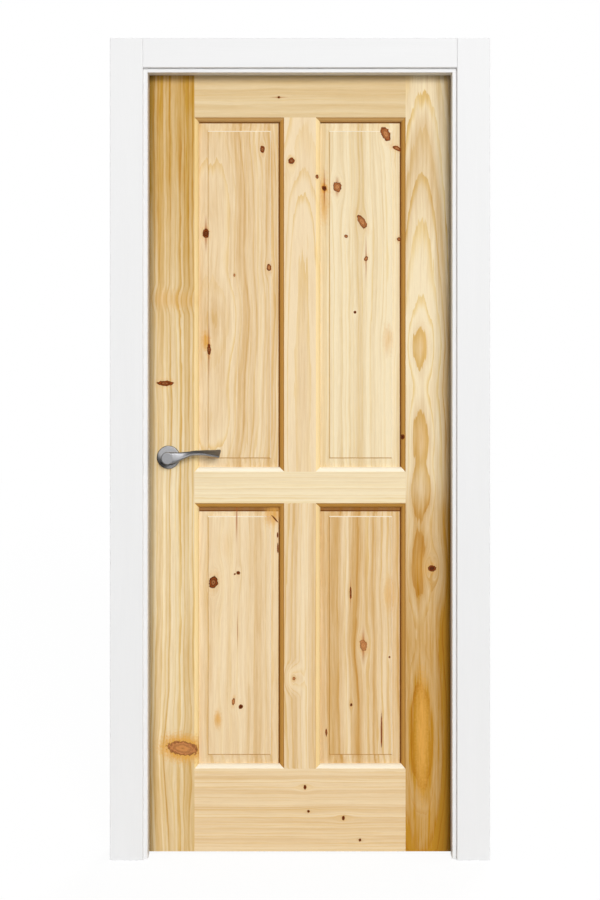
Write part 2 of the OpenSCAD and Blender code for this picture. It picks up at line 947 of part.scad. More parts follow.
// Room in the lock stile for the case and for the spindle
module latch_mortise() {
    translate([-leaf_x - over, leaf_mid_y - case_t / 2 - case_play, case_z - case_play])
        cube([faceplate_t + case_l + over + case_play, case_t + 2 * case_play, case_h + 2 * case_play]);
    translate([spindle_x, leaf_push_y - over, spindle_z])
        rotate([-90, 0, 0]) cylinder(h = leaf_t + 2 * over, r = journal_r);
}

module plate_screw_set(play) {
    for (s = [-1, 1]) {
        translate([-leaf_x, leaf_mid_y, faceplate_z + s * plate_screw_z])
            rotate([0, -90, 0]) screw(small_screw_d, plate_screw_l, play);
    }
}

module faceplate_screws() {
    color(nickel) plate_screw_set(0);
}

// Coil around X between the bolt head and the lug
function spring_point(i, j) =
    let (turn = 360 * i / spring_steps)
    let (around = 360 * j / wire_points)
    let (r = spring_r - spring_wire_r + spring_wire_r * cos(around))
    [
        spring_l * i / (spring_turns * spring_steps) + spring_wire_r * sin(around),
        r * cos(turn),
        r * sin(turn)
    ];

// Faces of a tube of rings, each ring with a number of points
function tube_faces(rings, points) = concat(
    [[for (j = [points - 1:-1:0]) j]],
    [for (i = [0:rings - 2]) for (j = [0:points - 1]) [
        i * points + j,
        i * points + (j + 1) % points,
        (i + 1) * points + j
    ]],
    [for (i = [0:rings - 2]) for (j = [0:points - 1]) [
        (i + 1) * points + j,
        i * points + (j + 1) % points,
        (i + 1) * points + (j + 1) % points
    ]],
    [[for (j = [0:points - 1]) (rings - 1) * points + j]]
);

module latch_spring() {
    rings = spring_turns * spring_steps + 1;
    color(steel) translate([spring_x, leaf_mid_y, spring_z])
        polyhedron(
            points = [for (i = [0:rings - 1]) for (j = [0:wire_points - 1]) spring_point(i, j)],
            faces = tube_faces(rings, wire_points)
        );
}

module latch_bolt() {
    tip_x = -leaf_x - bolt_throw;
    color(nickel) {
        translate([0, 0, bolt_z - bolt_h / 2]) linear_extrude(height = bolt_h) polygon([
            [bolt_back_x, leaf_mid_y - bolt_w / 2],
            [bolt_back_x, leaf_mid_y + bolt_w / 2],
            [tip_x, leaf_mid_y + bolt_w / 2],
            [tip_x, leaf_mid_y + bolt_w / 4],
            [-leaf_x, leaf_mid_y - bolt_w / 2]
        ]);
        translate([bolt_back_x - over, leaf_mid_y - bolt_w / 2, tail_z])
            cube([hook_x + hook_t - bolt_back_x + over, bolt_w, tail_t]);
        translate([hook_x, leaf_mid_y - bolt_w / 2, hook_z]) cube([hook_t, bolt_w, tail_z + tail_t - hook_z]);
    }
}

module follower() {
    color(steel) translate([spindle_x, leaf_mid_y, spindle_z]) difference() {
        union() {
            rotate([90, 0, 0]) cylinder(h = case_t, r = journal_r, center = true);
            rotate([90, 0, 0]) linear_extrude(height = bolt_w, center = true) {
                circle(r = follower_r);
                rotate(arm_lean) {
                    translate([-arm_t / 2, 0]) square([arm_t, nose_arm]);
                    translate([0, nose_arm]) circle(r = nose_r);
                }
            }
        }
        spindle_hole();
    }
}

module spindle_hole() {
    side = spindle_w + 2 * spindle_play;
    cube([side, spindle_l, side], center = true);
}

// Strike

module strike_body() {
    translate([-rebate_x, pull_y, bolt_z - strike_h / 2]) linear_extrude(height = strike_h) difference() {
        union() {
            translate([-strike_t, -strike_w]) square([strike_t, strike_w + strike_t]);
            translate([-lip_l, 0]) square([lip_l, strike_t]);
        }
        translate([0, strike_t]) mirror([1, 0]) mirror([0, 1]) corner_cut(lip_r);
    }
}

module strike_pocket() {
    translate([
        -rebate_x - pocket_d,
        leaf_mid_y - bolt_w / 2 - strike_room,
        bolt_z - bolt_h / 2 - strike_room
    ])
        cube([pocket_d + over, bolt_w + 2 * strike_room, bolt_h + 2 * strike_room]);
}

module strike_screw_set(play) {
    for (s = [-1, 1]) {
        translate([-rebate_x, leaf_mid_y, bolt_z + s * strike_screw_z])
            rotate([0, 90, 0]) screw(small_screw_d, plate_screw_l, play);
    }
}

module strike_plate() {
    color(nickel) difference() {
        strike_body();
        strike_pocket();
        strike_screw_set(screw_play);
    }
}

module strike_screws() {
    color(nickel) strike_screw_set(0);
}

// Handles, drawn with the lever along X, up along Y and out of the leaf along Z

module on_push_face() {
    translate([spindle_x, leaf_push_y, spindle_z]) rotate([90, 0, 0]) children();
}

module on_pull_face() {
    translate([spindle_x, pull_y, spindle_z]) mirror([0, 1, 0]) rotate([90, 0, 0]) children();
}

module rose() {
    rotate_extrude() difference() {
        square([rose_d / 2, rose_h]);
        translate([rose_d / 2, rose_h]) mirror([1, 0]) mirror([0, 1]) corner_cut(rose_edge_r);
        translate([-over, -over]) square([rose_d / 2 - rose_wall + over, rose_h - rose_wall + over]);
        translate([-over, -over]) square([neck_d / 2 + neck_gap + over, rose_h + 2 * over]);
    }
}

module rose_base() {
    difference() {
        cylinder(h = base_h, r = base_d / 2);
        translate([0, 0, -over]) cylinder(h = base_h + 2 * over, r = neck_d / 2 + neck_gap);
        rose_screw_pair(screw_play);
    }
}

module rose_screw_pair(play) {
    for (s = [-1, 1]) {
        translate([0, s * rose_screw_inset, base_h]) screw(small_screw_d, rose_screw_l, play);
    }
}

module rose_screw_set(play) {
    on_push_face() rose_screw_pair(play);
    on_pull_face() rose_screw_pair(play);
}

// Lever blade

function signed_pow(x, e) = sign(x) * pow(abs(x), e);

function station(i) = lever_shares[max(0, min(last_station, i))];

// Smooth curve through the stations
function blend(a, b, c, d, t) =
    b + (c - a) * t / 2 + (2 * a - 5 * b + 4 * c - d) * t * t / 2 + (3 * b - a - 3 * c + d) * t * t * t / 2;

function ring_shares(k) =
    let (i = floor(k / lever_steps))
    let (t = k / lever_steps - i)
    blend(station(i - 1), station(i), station(i + 1), station(i + 2), t);

function lever_point(v, j, size, ahead) =
    let (a = 360 * j / lever_points)
    let (turn = v[4] * lever_twist)
    let (q = signed_pow(cos(a), section_share) * v[3] * lever_t * size / 2)
    let (up_share = signed_pow(sin(a), section_share))
    let (b = up_share * v[2] * lever_w * size / 2)
    [
        v[0] * lever_l - tip_l + ahead + tip_slant * up_share * pow(v[0], lever_points),
        v[1] * lever_rise + q * sin(turn) + b * cos(turn),
        lever_stand + q * cos(turn) - b * sin(turn)
    ];

module lever_blade() {
    polyhedron(
        points = concat(
            [for (k = [0:ring_count - 1]) for (j = [0:lever_points - 1]) lever_point(ring_shares(k), j, 1, 0)],
            [for (j = [0:lever_points - 1]) lever_point(station(last_station), j, tip_share, tip_l)]
        ),
        faces = tube_faces(ring_count + 1, lever_points)
    );
}

module lever() {
    difference() {
        union() {
            rotate_extrude() difference() {
                union() {
                    translate([0, neck_stand]) square([neck_d / 2, lever_stand - neck_stand]);
                    translate([0, hub_back]) square([hub_d / 2, hub_t]);
                    polygon([
                        [0, hub_back - flare_h],
                        [neck_d / 2, hub_back - flare_h],
                        [hub_d / 2, hub_back],
                        [hub_d / 2, lever_stand],
                        [0, lever_stand]
                    ]);
                }
                translate([hub_d / 2, hub_front]) mirror([1, 0]) mirror([0, 1]) corner_cut(hub_edge_r);
            }
            lever_blade();
        }
        translate([0, 0, neck_stand]) rotate([90, 0, 0]) lever_socket();
        grub_hole(screw_play);
    }
}

module lever_socket() {
    side = spindle_w + 2 * spindle_play;
    translate([-side / 2, 0, -side / 2]) translate([0, -over, 0]) cube([side, spindle_reach + over, side]);
}

module grub_hole(play) {
    reach = neck_d / 2 - spindle_w / 2 - spindle_play;
    translate([0, -neck_d / 2, grub_stand]) rotate([-90, 0, 0]) cylinder(h = reach, r = grub_d / 2 + play);
}

module push_rose_base() {
    color(steel) on_push_face() rose_base();
}

module pull_rose_base() {
    color(steel) on_pull_face() rose_base();
}

module rose_screws() {
    color(steel) rose_screw_set(0);
}

module push_rose() {
    color(nickel) on_push_face() rose();
}

module pull_rose() {
    color(nickel) on_pull_face() rose();
}

module push_lever() {
    color(nickel) on_push_face() lever();
}

module pull_lever() {
    color(nickel) on_pull_face() lever();
}

module spindle() {
    color(steel) translate([spindle_x, leaf_mid_y, spindle_z])
        cube([spindle_w, spindle_l, spindle_w], center = true);
}

module grub_screws() {
    color(steel) {
        on_push_face() grub_hole(0);
        on_pull_face() grub_hole(0);
    }
}

strike_jamb();
hinge_jamb();
head_jamb();
push_left_casing();
push_right_casing();
push_head_casing();
pull_left_casing();
pull_right_casing();
pull_head_casing();
strike_seal();
hinge_seal();
head_seal();
strike_plate();
strike_screws();
upper_hinge_frame_plate();
middle_hinge_frame_plate();
lower_hinge_frame_plate();
upper_hinge_pin();
middle_hinge_pin();
lower_hinge_pin();
hinge_frame_screws();
lock_stile();
hinge_stile();
top_rail();
lock_rail();
bottom_rail();
upper_muntin();
lower_muntin();
upper_left_panel();
upper_right_panel();
lower_left_panel();
lower_right_panel();
rail_dowels();
muntin_dowels();
upper_hinge_leaf_plate();
middle_hinge_leaf_plate();
lower_hinge_leaf_plate();
hinge_leaf_screws();
latch_case();
latch_faceplate();
faceplate_screws();
latch_spring();
push_rose_base();
pull_rose_base();
rose_screws();
push_rose();
pull_rose();
push_lever();
pull_lever();
spindle();
follower();
grub_screws();
latch_bolt();
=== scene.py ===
"""Looks of an interior door: knotty pine leaf, white lacquered frame, satin nickel furniture."""

import json
import math

import bmesh
import bpy
from mathutils import Matrix, Vector


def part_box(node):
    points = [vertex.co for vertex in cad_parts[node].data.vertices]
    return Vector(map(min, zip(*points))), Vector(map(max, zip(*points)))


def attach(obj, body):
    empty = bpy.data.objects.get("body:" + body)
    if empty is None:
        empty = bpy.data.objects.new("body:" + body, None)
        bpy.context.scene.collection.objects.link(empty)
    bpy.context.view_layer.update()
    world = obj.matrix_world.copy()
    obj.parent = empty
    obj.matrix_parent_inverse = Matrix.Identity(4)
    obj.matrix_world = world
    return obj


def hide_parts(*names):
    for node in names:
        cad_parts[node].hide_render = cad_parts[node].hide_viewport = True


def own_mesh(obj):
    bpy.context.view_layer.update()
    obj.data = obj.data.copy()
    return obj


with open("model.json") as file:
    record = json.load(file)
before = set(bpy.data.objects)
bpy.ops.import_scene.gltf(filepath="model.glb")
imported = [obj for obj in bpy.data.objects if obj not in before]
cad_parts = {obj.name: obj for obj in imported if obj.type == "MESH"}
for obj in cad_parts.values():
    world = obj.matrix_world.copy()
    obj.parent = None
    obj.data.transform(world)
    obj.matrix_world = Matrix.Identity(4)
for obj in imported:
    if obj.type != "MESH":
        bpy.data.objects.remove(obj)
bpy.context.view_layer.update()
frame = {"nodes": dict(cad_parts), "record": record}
nodes = frame["nodes"]

MM = 0.001

# Places of the door in millimetres
LEAF_MID_Y = 27.5
LEAF_PUSH_Y = 10.0
LEAF_PULL_Y = 45.0
SPINDLE_X = -341.5
SPINDLE_Z = 1030.0
ROSE_RADIUS = 28.0


def tone(red, green, blue):
    """A colour of the eight bit colour card as linear light."""

    def linear(value):
        share = value / 255
        return share / 12.92 if share <= 0.04045 else ((share + 0.055) / 1.055) ** 2.4

    return (linear(red), linear(green), linear(blue), 1.0)


class Bench:
    """Sets nodes into one tree and wires them together."""

    def __init__(self, tree):
        self.tree = tree

    def feed(self, socket, value):
        if isinstance(value, bpy.types.NodeSocket):
            self.tree.links.new(value, socket)
        elif value is not None:
            socket.default_value = value

    def node(self, kind, *values, **settings):
        made = self.tree.nodes.new(kind)
        for key, value in settings.items():
            setattr(made, key, value)
        for socket, value in zip(made.inputs, values):
            self.feed(socket, value)
        return made

    def math(self, operation, a, b=None, c=None):
        return self.node("ShaderNodeMath", a, b, c, operation=operation).outputs[0]

    def vector(self, operation, a, b=None):
        made = self.node("ShaderNodeVectorMath", a, b, operation=operation)
        return made.outputs["Value" if operation == "LENGTH" else "Vector"]

    def step(self, value, low, high, floor=0.0, top=1.0):
        made = self.node("ShaderNodeMapRange", value, low, high, floor, top)
        made.interpolation_type = "SMOOTHSTEP"
        return made.outputs[0]

    def join(self, x, y, z):
        return self.node("ShaderNodeCombineXYZ", x, y, z).outputs[0]

    def split(self, vector):
        return self.node("ShaderNodeSeparateXYZ", vector).outputs

    def noise(self, place, detail=2.0, rough=0.5, out="Fac"):
        made = self.node("ShaderNodeTexNoise", noise_dimensions="3D")
        self.feed(made.inputs["Vector"], place)
        made.inputs["Scale"].default_value = 1.0
        made.inputs["Detail"].default_value = detail
        made.inputs["Roughness"].default_value = rough
        return made.outputs[out]

    def pattern(self, place, density, detail=2.0, rough=0.5):
        return self.noise(self.vector("MULTIPLY", place, density), detail, rough)

    def blend(self, share, under, over, way="MIX"):
        made = self.node("ShaderNodeMix", data_type="RGBA", blend_type=way)
        self.feed(made.inputs[0], share)
        self.feed(made.inputs[6], under)
        self.feed(made.inputs[7], over)
        return made.outputs[2]

    def shaded(self, colour, shade):
        return self.blend(1.0, colour, self.join(shade, shade, shade), "MULTIPLY")

    def bump(self, shader, height, strength, distance):
        made = self.node("ShaderNodeBump")
        made.inputs["Strength"].default_value = strength
        made.inputs["Distance"].default_value = distance * MM
        self.feed(made.inputs["Height"], height)
        self.feed(shader.inputs["Normal"], made.outputs[0])

    def ramp(self, share, stops, way="B_SPLINE"):
        made = self.node("ShaderNodeValToRGB", share)
        made.color_ramp.interpolation = way
        points = made.color_ramp.elements
        while len(points) < len(stops):
            points.new(0.5)
        for point, (at, value) in zip(points, stops):
            point.position = at
            point.color = value if isinstance(value, tuple) else (value, value, value, 1.0)
        return made.outputs[0]


def new_group(name, kind, takes, gives):
    tree = bpy.data.node_groups.new(name, kind)
    for label, socket in takes:
        tree.interface.new_socket(name=label, in_out="INPUT", socket_type="NodeSocket" + socket)
    for label, socket in gives:
        tree.interface.new_socket(name=label, in_out="OUTPUT", socket_type="NodeSocket" + socket)
    bench = Bench(tree)
    return tree, bench, bench.node("NodeGroupInput").outputs, bench.node("NodeGroupOutput").inputs


def new_material(name):
    made = bpy.data.materials.new(name)
    made.use_nodes = True
    made.node_tree.nodes.clear()
    bench = Bench(made.node_tree)
    shader = bench.node("ShaderNodeBsdfPrincipled")
    out = bench.node("ShaderNodeOutputMaterial")
    bench.feed(out.inputs["Surface"], shader.outputs[0])
    here = bench.node("ShaderNodeTexCoord").outputs["Object"]
    place = bench.vector("MULTIPLY", here, (1 / MM, 1 / MM, 1 / MM))
    return made, bench, shader, place


# Pine: places on a board are (across the grain, depth, along the grain) in millimetres

VECTOR, FLOAT = "Vector", "Float"

# Densities of its patterns, per millimetre
KNOT_EDGE = (0.16, 0.05, 0.16)
KNOT_FEATHER = (0.25, 0.05, 0.03)
KNOT_MOTTLE = (0.22, 0.1, 0.22)
SLOW_DRIFT = (0.006, 0.006, 0.0016)
RAGGED_RINGS = (0.16, 0.16, 0.009)
STRONG_PATCHES = (0.02, 0.02, 0.003)
STREAKS = (0.11, 0.11, 0.0035)
FIBRES = (1.5, 1.5, 0.035)

# How far a knot's halo, push and year rings go, in shares of its half size
HALO_SHARES = (2.1, 1.0, 2.8)
PUSH_SHARE = 1.25
PUSH_ALONG_SHARE = 0.42
YEARS_IN_KNOT = 12.0


def pine_knot_group():
    """One knot: the grain flows round it, and its heart, bark rim, halo and resin tail stain the wood.

    Flow gathers the bend across the grain, the tail and the lift of the rings. Stain gathers the heart, rim
    and halo."""
    tree, b, take, give = new_group(
        "pine_knot",
        "ShaderNodeTree",
        [
            ("Place", VECTOR),
            ("Flow", VECTOR),
            ("Stain", VECTOR),
            ("Middle", VECTOR),
            ("Half Size", VECTOR),
            ("Turn", FLOAT),
            ("Push", FLOAT),
            ("Heart", FLOAT),
            ("Halo", FLOAT),
            ("Tail", FLOAT),
            ("Lift", FLOAT),
        ],
        [("Flow", VECTOR), ("Stain", VECTOR)],
    )
    gap = b.vector("SUBTRACT", take["Place"], take["Middle"])
    turned = b.node("ShaderNodeVectorRotate", rotation_type="Y_AXIS")
    b.feed(turned.inputs["Vector"], gap)
    b.feed(turned.inputs["Angle"], take["Turn"])
    shape = b.vector("DIVIDE", turned.outputs[0], take["Half Size"])
    rough_edge = b.pattern(take["Place"], KNOT_EDGE, 3.0)
    wobble = b.math("MULTIPLY_ADD", rough_edge, 0.9, 0.55)
    reach = b.math("MULTIPLY", b.vector("LENGTH", shape), wobble)
    inside = b.step(reach, 1.08, 0.9)
    ripening = b.step(reach, 0.25, 0.9, 0.7, 1.12)
    heart = b.math("MULTIPLY", b.math("MULTIPLY", inside, ripening), take["Heart"])
    bark = b.math("MULTIPLY", b.step(reach, 0.66, 0.94), b.step(reach, 1.08, 0.96))
    bark = b.math("MULTIPLY", bark, b.step(rough_edge, 0.3, 0.55, 0.45, 1.0))
    years = b.math("COSINE", b.math("MULTIPLY", reach, YEARS_IN_KNOT))
    years = b.math("MULTIPLY_ADD", years, 0.36, 0.16)
    pith = b.math("MULTIPLY", b.step(reach, 0.85, 0.2), b.step(take["Heart"], 0.55, 1.45))
    rim = b.math("MAXIMUM", b.math("ADD", pith, b.math("MULTIPLY", years, inside)), bark)
    rim = b.math("MULTIPLY", rim, b.step(take["Heart"], 0.0, 1.0, 0.0, 1.0))
    around = b.vector("LENGTH", b.vector("DIVIDE", shape, HALO_SHARES))
    ragged = b.math("MULTIPLY", around, wobble)
    feather = b.pattern(take["Place"], KNOT_FEATHER, 3.0, 0.6)
    halo = b.math("MULTIPLY", b.step(ragged, 1.0, 0.15), b.math("MULTIPLY_ADD", feather, 1.6, 0.2))
    halo = b.math("MULTIPLY", halo, take["Halo"])
    lift = b.math("MULTIPLY", b.step(around, 1.25, 0.0), take["Lift"])
    across, _, along = b.split(gap)
    half = b.split(take["Half Size"])[0]
    thin = b.step(b.math("ABSOLUTE", b.math("DIVIDE", across, half)), 0.55, 0.06)
    fading = b.step(b.math("ABSOLUTE", along), take["Tail"], 0.0)
    tail = b.math("MULTIPLY", thin, fading)
    room = b.math("POWER", b.math("MULTIPLY", half, PUSH_SHARE), 2.0)
    far = b.math("POWER", b.math("MULTIPLY", along, PUSH_ALONG_SHARE), 2.0)
    far = b.math("ADD", b.math("POWER", across, 2.0), far)
    push = b.math("DIVIDE", room, b.math("MAXIMUM", far, room))
    bend = b.math("MULTIPLY", b.math("MULTIPLY", across, push), b.math("MULTIPLY", take["Push"], -1.0))
    b.feed(give["Flow"], b.vector("ADD", take["Flow"], b.join(bend, tail, lift)))
    b.feed(give["Stain"], b.vector("ADD", take["Stain"], b.join(heart, rim, halo)))
    return tree


def pine_grain_group():
    """Growth rings round a pith that wanders, with late wood, colour bands and fibres."""
    tree, b, take, give = new_group(
        "pine_grain",
        "ShaderNodeTree",
        [
            ("Place", VECTOR),
            ("Flow", VECTOR),
            ("Pith", VECTOR),
            ("Bow", FLOAT),
            ("Ring Width", FLOAT),
            ("Wander", FLOAT),
        ],
        [("Late", FLOAT), ("Band", FLOAT), ("Streak", FLOAT), ("Fibre", FLOAT)],
    )
    bend, _, lift = b.split(take["Flow"])
    seed = b.split(take["Pith"])[2]
    slow = b.vector("MULTIPLY", take["Place"], SLOW_DRIFT)
    slow = b.vector("ADD", slow, b.join(seed, seed, seed))
    drift = b.vector("SUBTRACT", b.noise(slow, 4.0, 0.55, "Color"), (0.5, 0.5, 0.5))
    wander = b.math("MULTIPLY", take["Wander"], 2.0)
    drift = b.vector("MULTIPLY", drift, b.join(wander, wander, 0.0))
    spot = b.vector("ADD", b.vector("SUBTRACT", take["Place"], take["Pith"]), drift)
    spot = b.vector("ADD", spot, b.join(bend, take["Bow"], 0.0))
    radius = b.vector("LENGTH", b.vector("MULTIPLY", spot, (1.0, 1.0, 0.0)))
    radius = b.math("ADD", radius, lift)
    turns = b.math("DIVIDE", radius, take["Ring Width"])
    uneven = b.noise(b.join(b.math("MULTIPLY", turns, 0.6), seed, 0.0), 1.0)
    turns = b.math("ADD", turns, b.math("MULTIPLY", uneven, 2.2))
    flat = b.vector("ADD", b.vector("ADD", take["Place"], drift), b.join(bend, 0.0, 0.0))
    ragged = b.pattern(flat, RAGGED_RINGS)
    turns = b.math("ADD", turns, b.math("MULTIPLY", ragged, 0.55))
    year = b.math("FLOOR", turns)
    share = b.math("SUBTRACT", turns, year)
    mark = b.node("ShaderNodeTexWhiteNoise", noise_dimensions="2D")
    b.feed(mark.inputs["Vector"], b.join(year, seed, 0.0))
    strong = b.math("MULTIPLY_ADD", mark.outputs["Value"], 0.75, 0.25)
    patch = b.vector("MULTIPLY", take["Place"], STRONG_PATCHES)
    patch = b.noise(b.vector("ADD", patch, b.join(seed, 0.0, seed)))
    strong = b.math("MULTIPLY", strong, b.step(patch, 0.28, 0.62, 0.35, 1.1))
    late = b.math("MULTIPLY", b.step(share, 0.48, 0.94), b.step(share, 1.0, 0.95))
    b.feed(give["Late"], b.math("MULTIPLY", late, strong))
    band = b.join(b.math("MULTIPLY", turns, 0.45), b.math("ADD", seed, 7.0), 0.0)
    b.feed(give["Band"], b.noise(band, 1.0))
    b.feed(give["Streak"], b.pattern(flat, STREAKS, 4.0, 0.75))
    b.feed(give["Fibre"], b.pattern(flat, FIBRES, 3.0, 0.65))
    return tree


PINE_KNOT = pine_knot_group()
PINE_GRAIN = pine_grain_group()

CREAM = tone(247, 229, 192)
BUFF = tone(245, 222, 183)
HONEY = tone(198, 151, 58)
TAN = tone(204, 155, 80)
DEEP_HONEY = tone(191, 137, 38)
# Painted shade along the left edge of a raised field
AMBER_FIELD_SHADE = tone(204, 158, 64)
LATE_WOOD = (0.86, 0.71, 0.42)
# Painted shade on moulded edges turned away from the key lamp, and along the foot of a raised field
PAINTED_MOULDING_SHADE = tone(194, 142, 68)
# Painted shadow beside the top and right mouldings of a panel
PAINTED_CORNER_SHADOW = tone(142, 88, 20)
# Painted highlight on moulded edges facing the key lamp, and along the right and top of a raised field
PAINTED_HIGHLIGHT = tone(255, 247, 226)
# Painted highlight on moulded edges facing the key lamp
SUNLIT = tone(255, 226, 162)
KNOT_PALE = tone(204, 138, 82)
KNOT_RED = tone(158, 74, 22)
KNOT_DARK = tone(66, 28, 4)
KNOT_HALO = tone(224, 166, 78)
RESIN = tone(170, 90, 30)
# Painted shade line along shaded moulded edges and beside a panel's top and right mouldings
PAINTED_SHADE_LINE = tone(108, 56, 8)
NO_DEPTH = 1.0e6
SHORTEST_TAIL = 0.01


def knot(x, z, half_x, half_z, heart=1.0, halo=0.5, turn=0.0, push=1.0, tail=0.0, lift=0.0):
    """A knot of the leaf, seen from the push side, in millimetres and degrees.

    heart and halo give how dark it is, push how it bends the grain, tail the length of its resin tail
    and lift how far it raises the rings. A knot without a heart only bends or stains the grain."""
    return (x, z, half_x, half_z, heart, halo, turn, push, tail, lift)


def knots_of(b, place, lying, knots):
    """Sets the knots of a board one after the other and gives how the grain flows and what is stained."""
    flow, stain = (0.0, 0.0, 0.0), (0.0, 0.0, 0.0)
    for x, z, half_x, half_z, heart, halo, turn, push, tail, lift in knots:
        one = b.node("ShaderNodeGroup", node_tree=PINE_KNOT)
        settings = {
            "Place": place,
            "Flow": flow,
            "Stain": stain,
            "Middle": (z, 0.0, x) if lying else (x, 0.0, z),
            "Half Size": (half_z, NO_DEPTH, half_x) if lying else (half_x, NO_DEPTH, half_z),
            "Turn": math.radians(turn if lying else -turn),
            "Push": push,
            "Heart": heart,
            "Halo": halo,
            "Tail": max(tail, SHORTEST_TAIL),
            "Lift": lift,
        }
        for label, value in settings.items():
            b.feed(one.inputs[label], value)
        flow, stain = one.outputs["Flow"], one.outputs["Stain"]
    return flow, stain


# Painted shade lines, painted shadows and painted highlights beside the mouldings and on the panels, in
# millimetres, and how much of their colour and of the knot stains shows
EDGE_FADE = 0.2
DARK_LINE_START = (0.2, 0.6)
DARK_LINE_END = (2.9, 2.3)
DARK_LINE_SHARE = 0.34
PANEL_HIDDEN = 9.5
CORNER_SHADOW_FADE = 1.0
CORNER_SHADOW_SHARE = 0.9
CORNER_SHADOW_LINE = (3.6, 2.4)
FIELD_LINE = 33.3
FIELD_LINE_FADE = (1.5, 0.7)
FIELD_CORNER_FADE = 1.0
HALO_SHARE = 0.8
TAIL_SHARE = 0.8
RIM_SHARE = 0.92


def moulded_edges(b, colour, across, ears):
    """Paints the board beyond each line where a moulded edge starts: painted shade on an edge turned away
    from the key lamp, painted highlight on one that faces it, and a painted shade line along a shaded edge.
    """
    for edge, side, share, stain in ears:
        beyond = b.math("MULTIPLY", b.math("SUBTRACT", across, edge), side)
        colour = b.blend(b.step(beyond, -EDGE_FADE, EDGE_FADE, 0.0, share), colour, stain)
        # A shaded moulded edge also gets a painted shade line where it starts
        if stain == PAINTED_MOULDING_SHADE:
            started = b.step(beyond, *DARK_LINE_START)
            line = b.math("MULTIPLY", started, b.step(beyond, *DARK_LINE_END, 0.0, DARK_LINE_SHARE))
            colour = b.blend(line, colour, PAINTED_SHADE_LINE)
    return colour


def panel_lines(b, colour, x, z, box, corner):
    """Lays a painted shadow on a panel beside the mouldings at its top and right, with a painted shade line
    along its far edge, and draws the edge of its raised field with painted shade at its left and foot and
    painted highlight at its right and top.
    """
    low, high = box
    left, right, foot, head = (v / MM for v in (low.x, high.x, low.z, high.z))
    from_top = b.math("SUBTRACT", head - PANEL_HIDDEN, z)
    from_right = b.math("SUBTRACT", right - PANEL_HIDDEN, x)
    # Painted shadow beside the top and right mouldings, with a painted shade line along its far edge
    for away, wide in zip((from_top, from_right), corner):
        painted_shadow = b.step(away, wide + CORNER_SHADOW_FADE, wide - CORNER_SHADOW_FADE, 0.0, CORNER_SHADOW_SHARE)
        colour = b.blend(painted_shadow, colour, PAINTED_CORNER_SHADOW)
        line = b.math("MULTIPLY", painted_shadow, b.step(away, wide - CORNER_SHADOW_LINE[0], wide - CORNER_SHADOW_LINE[1]))
        colour = b.blend(line, colour, PAINTED_SHADE_LINE)
    left, right, foot, head = left + FIELD_LINE, right - FIELD_LINE, foot + FIELD_LINE, head - FIELD_LINE
    fade = FIELD_CORNER_FADE
    in_x = b.math("MULTIPLY", b.step(x, left - fade, left), b.step(x, right + fade, right))
    in_z = b.math("MULTIPLY", b.step(z, foot - fade, foot), b.step(z, head + fade, head))
    # Edge of the raised field: painted shade at its left and foot, painted highlight at its right and top
    for value, line, inside, line_colour, share in (
        (x, left, in_z, AMBER_FIELD_SHADE, 0.5),
        (z, foot, in_x, PAINTED_MOULDING_SHADE, 0.9),
        (x, right, in_z, PAINTED_HIGHLIGHT, 0.6),
        (z, head, in_x, PAINTED_HIGHLIGHT, 0.95),
    ):
        away = b.math("ABSOLUTE", b.math("SUBTRACT", value, line))
        drawn = b.math("MULTIPLY", b.step(away, *FIELD_LINE_FADE, 0.0, share), inside)
        colour = b.blend(drawn, colour, line_colour)
    return colour


def knot_stain(b, colour, place, flow, stain):
    """Lays halo, resin tail, heart and rim of the knots over the wood."""
    heart, rim, halo = b.split(stain)
    tail = b.split(flow)[1]
    colour = b.blend(b.math("MULTIPLY", halo, HALO_SHARE), colour, KNOT_HALO)
    colour = b.blend(b.math("MULTIPLY", tail, TAIL_SHARE), colour, RESIN)
    mottle = b.pattern(place, KNOT_MOTTLE, 3.0, 0.6)
    ripe = b.math("ADD", b.step(heart, 0.5, 0.95), b.math("MULTIPLY_ADD", mottle, 0.9, -0.4))
    heart_colour = b.blend(ripe, KNOT_PALE, KNOT_RED)
    colour = b.blend(b.step(heart, 0.05, 0.5), colour, heart_colour)
    return b.blend(b.math("MINIMUM", rim, RIM_SHARE), colour, KNOT_DARK)


